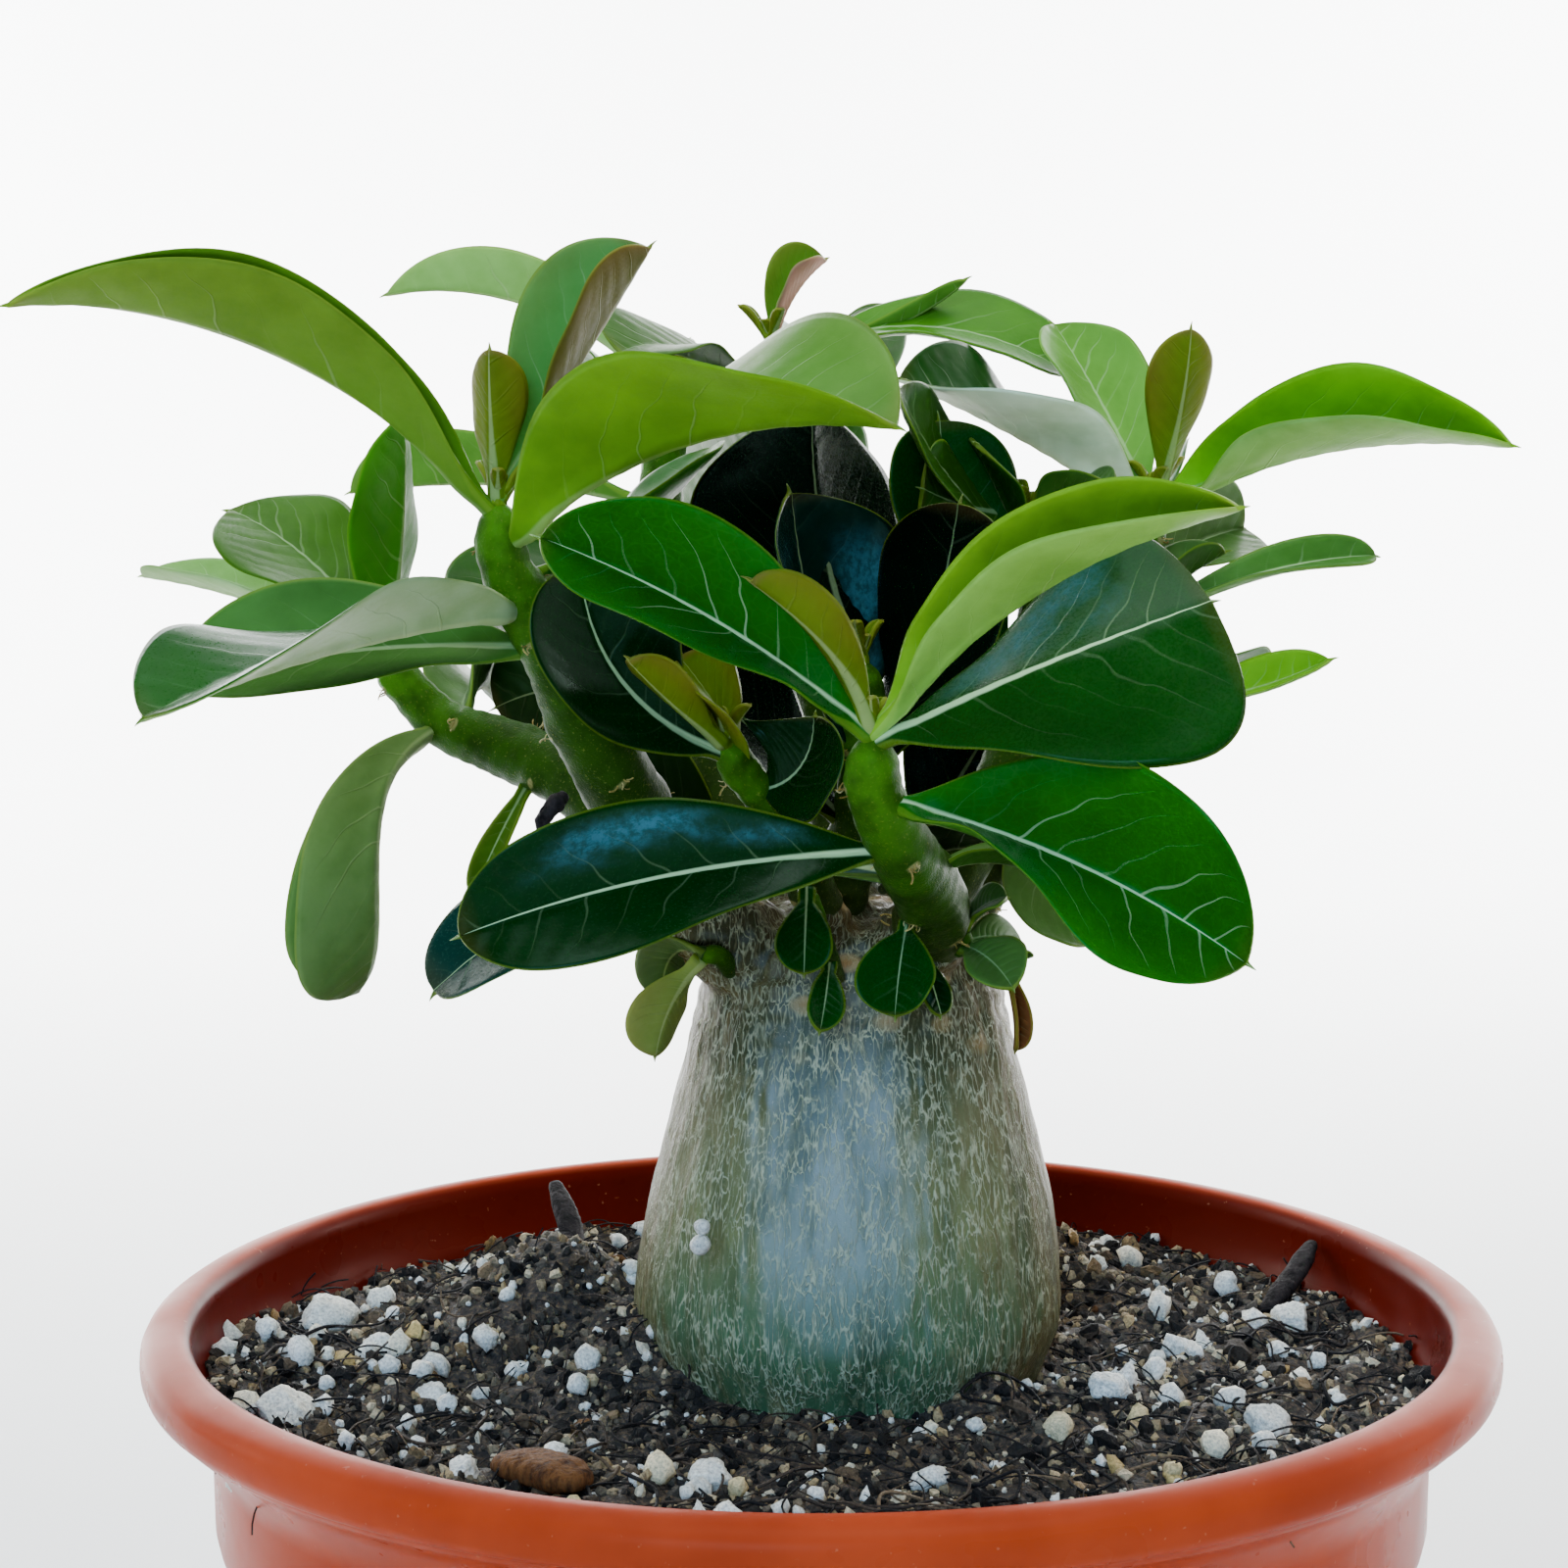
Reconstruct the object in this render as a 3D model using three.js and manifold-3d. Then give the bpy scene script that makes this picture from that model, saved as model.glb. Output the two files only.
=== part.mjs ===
// A desert rose in a plastic nursery pot: a swollen trunk with leafy shoots, standing in gritty potting mix.
// Millimetres and degrees. +Z is up, the origin is the middle of the pot's flat base, and -Y is the plant's front.
import * as THREE from "three";
import { mergeVertices } from "three/addons/utils/BufferGeometryUtils.js";
import Module from "manifold-3d";

const wasm = await Module();
wasm.setup();

// Driving sizes
const rimRadius = 77.5; // outside of the rim, a 155 mm pot
const potHeight = 112;
const soilLevel = 103.6; // mean height of the potting mix
const trunkCentre = [3.4, 2]; // the trunk stands a little right of the pot's middle
const gap = 0.3; // between a piece and the neighbour that carries it
const leafThickness = 0.9;

const colours = {
  pot: 0xb5512f,
  soil: 0x2e241d,
  perlite: 0xdedfdb,
  bark: 0x6f4a2c,
  twig: 0x2b2522,
  trunk: 0x7d8470,
  leaf: 0x2f6a24,
  smallLeaf: 0x2c5a26,
  dryLeaf: 0x6b3b22,
};

const rad = THREE.MathUtils.degToRad;
const smooth = THREE.MathUtils.smoothstep;
const vec = (x, y, z) => new THREE.Vector3(x, y, z);

// The same draw on each run
function seeded(seed) {
  let state = seed;
  return () => {
    state = (state * 16807) % 2147483647;
    return state / 2147483647;
  };
}

// Geometry to solid and back
function solidOf(geometry) {
  const bare = geometry.clone();
  bare.deleteAttribute("normal");
  bare.deleteAttribute("uv");
  const merged = mergeVertices(bare, 1e-4);
  const mesh = new wasm.Mesh({
    numProp: 3,
    vertProperties: new Float32Array(merged.attributes.position.array),
    triVerts: new Uint32Array(merged.index.array),
  });
  return new wasm.Manifold(mesh);
}

function geometryOf(solid) {
  const mesh = solid.getMesh();
  const geometry = new THREE.BufferGeometry();
  geometry.setAttribute("position", new THREE.BufferAttribute(mesh.vertProperties, 3));
  geometry.setIndex(new THREE.BufferAttribute(mesh.triVerts, 1));
  geometry.computeVertexNormals();
  return geometry;
}

const fuse = (solids) => solids.reduce((whole, piece) => whole.add(piece));

// The biggest body of a solid, without the scraps that a cut leaves
const mainBody = (solid) => solid.decompose().sort((a, b) => b.volume() - a.volume())[0];

function indexedSolid(rows, index, extra = []) {
  const position = [...rows.flat(), ...extra].flatMap((p) => [p.x, p.y, p.z]);
  const geometry = new THREE.BufferGeometry();
  geometry.setAttribute("position", new THREE.Float32BufferAttribute(position, 3));
  geometry.setIndex(index);
  return solidOf(geometry);
}

// A closed skin over rows of points: each row is a closed loop, and both ends are fanned shut
function loft(rows) {
  const size = rows[0].length;
  const last = rows.length - 1;
  const index = [];
  for (let i = 0; i < last; i++)
    for (let j = 0; j < size; j++) {
      const a = i * size + j;
      const b = i * size + ((j + 1) % size);
      index.push(a, b, b + size, a, b + size, a + size);
    }
  const middleOf = (row) => row.reduce((sum, p) => sum.add(p), vec(0, 0, 0)).divideScalar(size);
  const hub = rows.length * size;
  for (let j = 0; j < size; j++) {
    const next = (j + 1) % size;
    index.push(hub, next, j, hub + 1, last * size + j, last * size + next);
  }
  return indexedSolid(rows, index, [middleOf(rows[0]), middleOf(rows[last])]);
}

// A round stem through points, with a radius at each of them
function stemSolid(points, radii, { sides = 7, steps = 6 } = {}) {
  const curve = new THREE.CatmullRomCurve3(points.map((p) => vec(...p)), false, "catmullrom", 0.5);
  const rows = [];
  for (let i = 0; i <= steps; i++) {
    const t = i / steps;
    const place = t * (radii.length - 1);
    const low = Math.min(Math.floor(place), radii.length - 2);
    const radius = THREE.MathUtils.lerp(radii[low], radii[low + 1], place - low);
    const centre = curve.getPoint(t);
    const along = curve.getTangent(t);
    const across = vec(0, 1, 0).addScaledVector(along, -along.y).normalize();
    const up = vec(0, 0, 0).crossVectors(along, across);
    rows.push(
      Array.from({ length: sides }, (_, j) => {
        const a = (2 * Math.PI * j) / sides;
        return centre
          .clone()
          .addScaledVector(across, radius * Math.cos(a))
          .addScaledVector(up, radius * Math.sin(a));
      }),
    );
  }
  return loft(rows);
}

// The outline of a leaf: half its width, as a share, from stalk to tip. Widest past the middle, and the blunter at
// its end the smaller blunt is.
function leafOutline(t, blunt) {
  const taper = 1.35;
  const widest = taper / (taper + blunt);
  const shape = (s) => Math.pow(s, taper) * Math.pow(Math.max(1 - s, 0), blunt);
  return shape(t) / shape(widest);
}

// Where a leaf's midrib runs at t and how it is turned there. It starts off at heading and rise, sinks by arch,
// swings sideways and, at the very tip, flicks up again.
function midribAt(leaf, t) {
  const { base, heading, rise, length, arch = 40, swing = 0, flick = 0, roll = 0, twist = 0 } = leaf;
  const direction = (s) => {
    const turn = rad(heading + swing * s);
    const climb = rad(rise - arch * Math.pow(s, 1.15) + flick * smooth(s, 0.8, 1));
    return vec(Math.cos(turn) * Math.cos(climb), Math.sin(turn) * Math.cos(climb), Math.sin(climb));
  };
  const pieces = 24;
  const point = base.clone();
  for (let k = 0; k < pieces; k++) point.addScaledVector(direction(((k + 0.5) / pieces) * t), (length * t) / pieces);
  const along = direction(t);
  const turn = rad(heading + swing * t);
  const side = vec(-Math.sin(turn), Math.cos(turn), 0).applyAxisAngle(along, rad(roll + twist * t));
  return { point, side, face: vec(0, 0, 0).crossVectors(along, side) };
}

// A leaf blade: a stalk that widens into two halves, which lift by fold from the midrib and curl on towards
// their edges. Upper and lower faces are split along the same diagonals, so that a thin blade never crosses itself.
function leafSolid(leaf) {
  const { width, fold = 35, curl = 7, blunt = 0.52 } = leaf;
  const half = width > 21.5 ? 2 : 1;
  const steps = half + (width < 9 ? 3 : 5);
  const across = 2 * half + 1;
  const rows = [];
  for (let i = 0; i <= steps; i++) {
    const t = 1 - Math.pow(1 - i / steps, 1.3);
    const { point, side, face } = midribAt(leaf, t);
    const stalk = 1 - smooth(t, 0.1, 0.5);
    const reach = Math.max(width * 0.5 * leafOutline(t, blunt), 0.55 + 0.5 * stalk);
    const open = smooth(t, 0, 0.35);
    const upper = [];
    const lower = [];
    for (let j = -half; j <= half; j++) {
      const share = Math.abs(j) / half;
      const lift = rad(fold * (0.5 + 0.5 * open) + curl * share * open);
      const skin = leafThickness * (0.5 - 0.15 * share) + 0.35 * stalk * (1 - 0.6 * share);
      const middle = point
        .clone()
        .addScaledVector(side, reach * share * Math.cos(lift) * Math.sign(j))
        .addScaledVector(face, reach * share * Math.sin(lift));
      const out = face
        .clone()
        .multiplyScalar(Math.cos(lift))
        .addScaledVector(side, -Math.sin(lift) * Math.sign(j));
      upper.push(middle.clone().addScaledVector(out, skin));
      lower.push(middle.clone().addScaledVector(out, -skin));
    }
    rows.push([...upper, ...lower.reverse()]);
  }
  const size = 2 * across;
  const top = (i, j) => i * size + j;
  const under = (i, j) => i * size + size - 1 - j;
  const index = [];
  const quad = (a, b, c, d) => index.push(a, b, c, a, c, d);
  for (let i = 0; i < steps; i++) {
    for (let j = 0; j + 1 < across; j++) {
      quad(top(i, j), top(i + 1, j), top(i + 1, j + 1), top(i, j + 1));
      index.push(under(i, j), under(i + 1, j + 1), under(i + 1, j));
      index.push(under(i, j), under(i, j + 1), under(i + 1, j + 1));
    }
    quad(under(i, 0), under(i + 1, 0), top(i + 1, 0), top(i, 0));
    quad(top(i, across - 1), top(i + 1, across - 1), under(i + 1, across - 1), under(i, across - 1));
  }
  for (let j = 0; j + 1 < across; j++) {
    quad(top(0, j), top(0, j + 1), under(0, j + 1), under(0, j));
    quad(top(steps, j + 1), top(steps, j), under(steps, j), under(steps, j + 1));
  }
  return indexedSolid(rows, index);
}

// Pot: a lathed cup with a rounded lip over a hollow neck, and a flat base with six drain holes
function potSolid() {
  const outer = [
    [52.2, 0], [53.6, 1.4], [66.6, 80], [69.5, 89], [69.6, 98.2], [70.8, 100.6],
    [72.6, 103.6], [76.4, 106.4], [rimRadius, 108.2], [rimRadius, 109.8], [75.8, 111.8], [73.6, potHeight],
    [72, 111.2], [71.5, 109.8],
  ];
  const inner = [
    [71.3, 106.4], [69.2, 102.4], [68.4, 99], [68.2, 89.4], [65.4, 80.4], [52.5, 3.8], [51, 2.2], [0, 2.2],
  ];
  const profile = [[0, 0], ...outer, ...inner].map(([r, z]) => new THREE.Vector2(r, z));
  const shell = solidOf(new THREE.LatheGeometry(profile, 40).rotateX(Math.PI / 2));
  const hole = solidOf(new THREE.CylinderGeometry(4, 4, 8, 10).rotateX(Math.PI / 2)).translate([38, 0, 3]);
  return [0, 60, 120, 180, 240, 300].reduce((pot, turn) => pot.subtract(hole.rotate([0, 0, turn])), shell);
}

// Height of the mix: heaped up against the trunk's left side, lumpy all over
function soilHeight(x, y) {
  const heaps = [
    [-32, 16, 11, 13], [-19, -3, 6.5, 8], [16, -15, 4, 7], [-60, 0, 2, 18], [30, 38, 4, 10],
  ];
  const heaped = heaps.reduce(
    (sum, [cx, cy, height, reach]) => sum + height * Math.exp(-((x - cx) ** 2 + (y - cy) ** 2) / reach ** 2),
    0,
  );
  const lumps =
    0.8 * Math.sin(0.31 * x + 1.3) * Math.cos(0.27 * y - 0.6) +
    0.5 * Math.sin(0.62 * x - 0.47 * y) +
    0.3 * Math.cos(0.93 * y + 0.71 * x + 2);
  return soilLevel + lumps + heaped;
}

// Potting mix: it fills the pot, a hair off the wall, with plain holes for what stands or lies in it
function soilSolid() {
  const turns = 40;
  const rings = 8;
  const edge = 69.4;
  const levels = Array.from({ length: rings + 1 }, (_, i) => [(edge * (i + 0.6)) / (rings + 0.6), null]);
  levels.push([67.8, 98.4], [67.7, 89.5], [64.9, 80.4], [52.1, 4.2], [50.6, 2.6]);
  const rows = levels.map(([r, level], i) =>
    Array.from({ length: turns }, (_, j) => {
      const a = (2 * Math.PI * j) / turns;
      const free = level ?? soilHeight(r * Math.cos(a), r * Math.sin(a));
      const z = i === rings ? THREE.MathUtils.clamp(free, 102.2, 105.2) : free;
      const reach = i === rings ? 68.55 + (z - 102.2) * 0.5 : r;
      return vec(reach * Math.cos(a), reach * Math.sin(a), z);
    }),
  );
  return loft(rows.reverse());
}

// Lumps of white perlite half sunk in the mix: where each lies, and how wide it is
const perlite = {
  perlite_left_back: [-59, 13, 8.5],
  perlite_left: [-51, 2, 5.5],
  perlite_left_front: [-59, -20, 7],
  perlite_left_inner: [-44, -12, 4.6],
  perlite_front_left: [-38, -38, 4.6],
  perlite_front: [-12, -40, 5.6],
  perlite_front_edge: [-10, -52, 4.4],
  perlite_front_right: [11, -40, 4.4],
  perlite_right_inner: [32, -12, 5],
  perlite_right_front: [49, -21, 6],
  perlite_right: [42, 6, 4.8],
  perlite_right_back: [57, 17, 5.4],
  perlite_behind: [-20, 50, 5.6],
  perlite_far: [22, 55, 5],
};

function lumpSolid([x, y, width], index, grow = 0) {
  const draw = seeded(311 + 97 * index);
  const ball = new THREE.IcosahedronGeometry(1, width > 6 ? 1 : 0);
  ball.deleteAttribute("uv");
  ball.deleteAttribute("normal");
  const shape = mergeVertices(ball, 1e-4);
  const place = shape.getAttribute("position");
  const turn = draw() * 360;
  for (let i = 0; i < place.count; i++) {
    const swell = 0.86 + 0.28 * draw();
    const spot = vec(place.getX(i), place.getY(i), place.getZ(i)).multiplyScalar(swell * width * 0.5 + grow);
    place.setXYZ(i, spot.x, spot.y * 0.84, spot.z * 0.78);
  }
  return solidOf(shape).rotate([draw() * 40, draw() * 40, turn]).translate([x, y, soilHeight(x, y) + width * 0.12]);
}

// Bits of bark and twig on the mix: each is a short crooked bar, its two ends, its thickness and its breadth
const bits = {
  bark_chip: { ends: [[-34, -36, 105], [-25, -45, 105.6]], thick: 3.4, broad: 6.4, colour: colours.bark },
  twig_left: { ends: [[-33.6, 46, 114.5], [-29.8, 31, 107]], thick: 2.2, broad: 3, colour: colours.twig },
  twig_right: { ends: [[62, 34, 109.6], [54.4, 21.5, 104.6]], thick: 2, broad: 2.8, colour: colours.twig },
};

function bitSolid({ ends, thick, broad }, grow = 0) {
  const [from, to] = ends.map((end) => vec(...end));
  const along = to.clone().sub(from);
  const rows = [0, 0.3, 0.7, 1].map((t, i) => {
    const narrow = i === 0 || i === 3 ? 0.6 : 1;
    const centre = from.clone().addScaledVector(along, t + (t - 0.5) * ((2 * grow) / along.length()));
    const across = vec(-along.y, along.x, 0).normalize();
    const up = vec(0, 0, 0).crossVectors(along, across).normalize();
    centre.addScaledVector(across, i === 1 ? 0.5 : 0);
    return Array.from({ length: 6 }, (_, j) => {
      const a = (Math.PI * j) / 3 + 0.3 * i;
      return centre
        .clone()
        .addScaledVector(across, (0.5 * broad * narrow + grow) * Math.cos(a))
        .addScaledVector(up, (0.5 * thick * narrow + grow) * Math.sin(a));
    });
  });
  return loft(rows);
}

// Trunk: a smooth flask, widest just above the mix. From its crown a bark stub leads to each shoot.
const trunkProfile = [
  [0, 74], [9, 75.5], [14, 80], [17, 88], [20, 97], [22, 104], [23.9, 110], [24, 115], [23.1, 122],
  [21.6, 129], [19.8, 136.6], [18, 144], [16.2, 151], [13, 156], [7, 158.4], [0, 159],
];

function trunkSolid(shoots, grow = 0) {
  const spread = trunkProfile.map(([r, z], i) => {
    const end = i === 0 || i === trunkProfile.length - 1;
    const drop = i === 0 ? -grow : i > 11 ? grow : 0;
    return new THREE.Vector2(end ? 0 : r + grow, z + drop);
  });
  const body = new THREE.LatheGeometry(spread, 20).rotateX(Math.PI / 2);
  const place = body.getAttribute("position");
  for (let i = 0; i < place.count; i++) {
    const x = place.getX(i);
    const y = place.getY(i);
    const a = Math.atan2(y, x);
    const bulge = 1 + 0.02 * Math.cos(2 * a + 0.6) + 0.012 * Math.sin(3 * a + place.getZ(i) / 18);
    place.setXY(i, trunkCentre[0] + x * bulge, trunkCentre[1] + y * bulge);
  }
  const stubs = Object.values(shoots)
    .filter((shoot) => !shoot.slim)
    .map(({ path, radii }) => {
      const start = vec(...path[0]);
      const root = vec(...trunkCentre, 150).lerp(start.clone().setZ(150), 0.4);
      const out = vec(...path[1]).sub(start).setLength(1.5 + grow);
      const thick = radii[0] * 1.1 + grow;
      const middle = root.clone().lerp(start, 0.6);
      const points = [root, middle, start.clone().add(out)].map((p) => p.toArray());
      return stemSolid(points, [thick * 1.3, thick * 1.15, thick], { sides: 8, steps: 3 });
    });
  return fuse([solidOf(body), ...stubs]);
}

// Shoots: the path and radii of each stem, then its leaves and side branches. A leaf leaves the stem at a share of
// its length. Slim ones are the little sprouts that break from the crown and from the foot of a bigger shoot.
const shoots = {
  shoot_left_front: {
    path: [[-18, -9, 165], [-25, -18, 181], [-28.5, -22, 190], [-33, -25, 198], [-34, -25, 205.5]],
    radii: [4.4, 4.2, 3.8, 2.8, 2.3],
    leaves: [
      { at: 0.93, heading: 194, rise: 48, length: 57, width: 22, arch: 51, swing: 10, roll: -27, twist: -36, fold: 80, blunt: 0.77 },
      { at: 1, heading: 255, rise: 78, length: 16, width: 8, arch: -13, swing: -3, roll: 3, twist: -6, fold: 26, curl: 9, blunt: 0.55 },
      { at: 1, heading: 45, rise: 54, length: 32, width: 18, arch: -4, swing: -41, roll: 22, fold: 52, curl: 6, blunt: 0.59 },
      { at: 0.82, heading: -40, rise: 37, length: 51, width: 34, arch: 45, swing: 17, roll: -14, twist: 29, fold: 30, curl: 3, blunt: 0.7 },
      { at: 0.62, heading: 234, rise: 1, length: 49, width: 29, arch: 22, swing: -24, roll: 38, twist: -48, fold: 17, curl: 0, blunt: 0.66 },
      { at: 0.48, heading: 192, rise: 6, length: 41, width: 17, arch: 23, swing: -5, roll: -51, twist: 8, fold: 24, curl: 6, blunt: 0.71 },
      { at: 0.72, heading: 41, rise: 12, length: 33, width: 16, arch: -25, swing: 10, roll: -31, twist: 13, fold: 7 },
    ],
  },
  shoot_left: {
    path: [[-17, -5, 161], [-27, 2, 171.5], [-36, 7, 175.5], [-44, 10, 178.5], [-50.5, 11, 186]],
    radii: [4.2, 3.7, 3.4, 2.8, 2],
    leaves: [
      { at: 1, heading: -43, rise: 75, length: 28, width: 18, arch: -15, swing: 8, roll: 12, twist: 10, fold: 6, curl: 8, blunt: 0.8 },
      { at: 0.98, heading: 173, rise: 60, length: 26, width: 25, arch: 39, swing: -11, roll: -15, fold: 4, curl: 2, blunt: 0.66 },
      { at: 0.95, heading: 144, rise: 25, length: 37, width: 13, arch: 21, swing: 17, fold: 15, curl: 8, blunt: 0.46 },
      { at: 0.72, heading: 223, rise: -14, length: 40, width: 21, arch: 136, swing: 84, roll: 56, twist: 31, fold: 70, curl: 10 },
      { at: 0.38, heading: 231, rise: -45, length: 18, width: 4, arch: 13, swing: -1, roll: -24, twist: -1, fold: 19, curl: 6, blunt: 0.48 },
      { at: 0.66, heading: 92, rise: 25, length: 36, width: 21, arch: 63, swing: -15, roll: -39, twist: 33, fold: 43, curl: 13, blunt: 0.65 },
    ],
  },
  shoot_front: {
    path: [[12, -12, 157], [12, -19, 162], [9, -28, 168], [5.7, -33, 175], [5, -35, 182]],
    radii: [4.2, 4, 3.6, 3, 2.6],
    leaves: [
      { at: 0.98, heading: 207, rise: 41, length: 41, width: 22, arch: 20, swing: -24, roll: -62, twist: -16, fold: 40, curl: 12, blunt: 0.62 },
      { at: 1, heading: -108, rise: 56, length: 23, width: 8, arch: 21, swing: -71, roll: 27, twist: 6, fold: 36 },
      { at: 0.99, heading: -35, rise: 46, length: 47, width: 23, arch: 31, swing: 17, roll: 47, twist: 24, fold: 67, curl: 11, blunt: 0.63 },
      { at: 0.95, heading: -35, rise: 28, length: 39, width: 32, arch: 10, swing: 48, roll: 35, twist: 11, fold: -14, curl: 4, blunt: 0.35 },
      { at: 0.74, heading: -26, rise: -8, length: 43, width: 31, arch: 24, roll: 33, twist: 38, fold: 41, curl: 14 },
      { at: 0.52, heading: 207, rise: 4, length: 49, width: 19, arch: 24, swing: -18, roll: -56, twist: -20, fold: 28, curl: 8, blunt: 0.57 },
      { at: 0.35, heading: 183, rise: 16, length: 56, width: 18, arch: 59, swing: 6, roll: -24, fold: 8, curl: 4, blunt: 0.43 },
      { at: 0.4, heading: -5, rise: 29, length: 16, width: 8, arch: 68, swing: -9, fold: 20 },
    ],
    branches: [
      {
        path: [[10.6, -15, 155], [10.3, -18, 157.5], [9.4, -19.5, 159.7]],
        radii: [1.2, 1.1, 1],
        slim: true,
        leaves: [
          { at: 1, heading: -102, rise: -35, length: 12, width: 10, arch: 30, fold: 24 },
          { at: 0.4, heading: -64, rise: -47, length: 9, width: 4, arch: 12, fold: 10 },
        ],
      },
      {
        path: [[13, -13, 157], [15.4, -14.5, 156], [15.6, -15.5, 158.3]],
        radii: [1.2, 1.1, 1],
        slim: true,
        leaves: [
          { at: 0.5, heading: -58, rise: 1, length: 11, width: 8, arch: 36, swing: -5, roll: 25, twist: 4, fold: 24, blunt: 0.54 },
          { at: 1, heading: -5, rise: 54, length: 6, width: 6, roll: 19, fold: 13 },
          { at: 0.6, heading: 34, rise: 17, length: 9, width: 8, arch: 65, swing: -2, roll: 25, fold: 11, blunt: 0.54 },
        ],
      },
    ],
  },
  shoot_centre: {
    path: [[0, -12, 160], [-3, -16, 168], [-6.5, -19, 173.5], [-10.5, -22, 179.5]],
    radii: [2.6, 2.4, 2.1, 1.8],
    leaves: [
      { at: 1, heading: -130, rise: 32, length: 16, width: 7, arch: -13, swing: -21, roll: 13, twist: 9, fold: 23 },
      { at: 0.92, heading: 190, rise: 19, length: 28, width: 19, arch: -71, swing: 2, roll: -72, twist: -7, fold: 19, blunt: 0.48 },
      { at: 0.7, heading: -35, rise: 6, length: 13, width: 19, arch: -89, swing: -9, roll: 75, twist: 16, fold: 19 },
      { at: 0.75, heading: 216, rise: 66, length: 16, width: 13, arch: 15, swing: -49, roll: -18, fold: 15 },
    ],
  },
  shoot_middle: {
    path: [[2, -4, 158], [4, -5, 168], [5, -6, 178], [4.5, -7, 187]],
    radii: [3, 2.8, 2.5, 2.2],
    leaves: [
      { at: 0.95, heading: 134, rise: 61, length: 30, width: 32, arch: -31, swing: 11, roll: -9, twist: 2, fold: -20, curl: 9, blunt: 0.71 },
      { at: 0.55, heading: 180, rise: 66, length: 32, width: 28, arch: -20, roll: -35, fold: 16, curl: 10, blunt: 0.61 },
      { at: 0.45, heading: -23, rise: 60, length: 35, width: 21, arch: -23, swing: 11, roll: 44, twist: 16, fold: -6 },
      { at: 0.3, heading: 190, rise: 50, length: 30, width: 20, arch: 16, roll: -34, twist: -14, fold: 4 },
      { at: 0.2, heading: -30, rise: 16, length: 27, width: 18, arch: 14, fold: 15 },
    ],
  },
  shoot_right: {
    path: [[12, -2, 156], [16.5, -1, 164], [22, 4, 175], [25.5, 9, 190], [24, 12, 202]],
    radii: [3.6, 3.3, 3, 2.6, 2.2],
    leaves: [
      { at: 0.9, heading: 215, rise: 27, length: 28, width: 17, arch: -38, roll: -36, twist: -14, fold: 5, curl: 9 },
      { at: 0.9, heading: 222, rise: 60, length: 16, width: 16, arch: 13, swing: 2, roll: -25, twist: -4, fold: -4 },
      { at: 1, heading: 225, rise: 2, length: 18, width: 14, arch: -20, roll: -65, twist: -15, fold: -9, blunt: 0.35 },
      { at: 0.9, heading: -30, rise: 45, length: 13, width: 15, arch: 18, fold: 30 },
      { at: 0.6, heading: 184, rise: 60, length: 34, width: 17, arch: -27, swing: -17, roll: -31, twist: -28, fold: 8, curl: 6, blunt: 0.45 },
    ],
  },
  shoot_right_back: {
    path: [[16, 10, 156], [21, 11.5, 164], [27.5, 14, 174], [34, 18, 187], [40.5, 24, 204]],
    radii: [4.4, 4, 3.4, 3, 2.4],
    leaves: [
      { at: 1, heading: -54, rise: 65, length: 20, width: 9, arch: -19, swing: -3, roll: -15, fold: 14, blunt: 0.61 },
      { at: 0.97, heading: -25, rise: 25, length: 44, width: 26, arch: 31, swing: 2, roll: 52, twist: 11, fold: 64, curl: 12, blunt: 0.8 },
      { at: 0.97, heading: 142, rise: 61, length: 26, width: 18, arch: 10, swing: -3, roll: -7, fold: 9, curl: 11, blunt: 0.59 },
      { at: 0.96, heading: 208, rise: 33, length: 36, width: 26, arch: 13, swing: -17, roll: 17, twist: -41, fold: 17, blunt: 0.74 },
      { at: 0.74, heading: 11, rise: 28, length: 37, width: 7, arch: 28, swing: 14, roll: -15, twist: 68, fold: 27, blunt: 0.5 },
      { at: 0.8, heading: 61, rise: 26, length: 30, width: 16, arch: 21, swing: -18, roll: 34, twist: 29, fold: 39, curl: 5, blunt: 0.47 },
      { at: 0.66, heading: 14, rise: 57, length: 23, width: 10, arch: 33 },
      { at: 0.86, heading: 85, rise: 32, length: 42, width: 20, arch: 45, twist: 3, fold: 30, curl: 9 },
    ],
    branches: [
      {
        path: [[22, 12, 165], [27, 13, 169], [32, 15, 173.5], [39, 17, 179]],
        radii: [3, 2.8, 2.5, 2],
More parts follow.
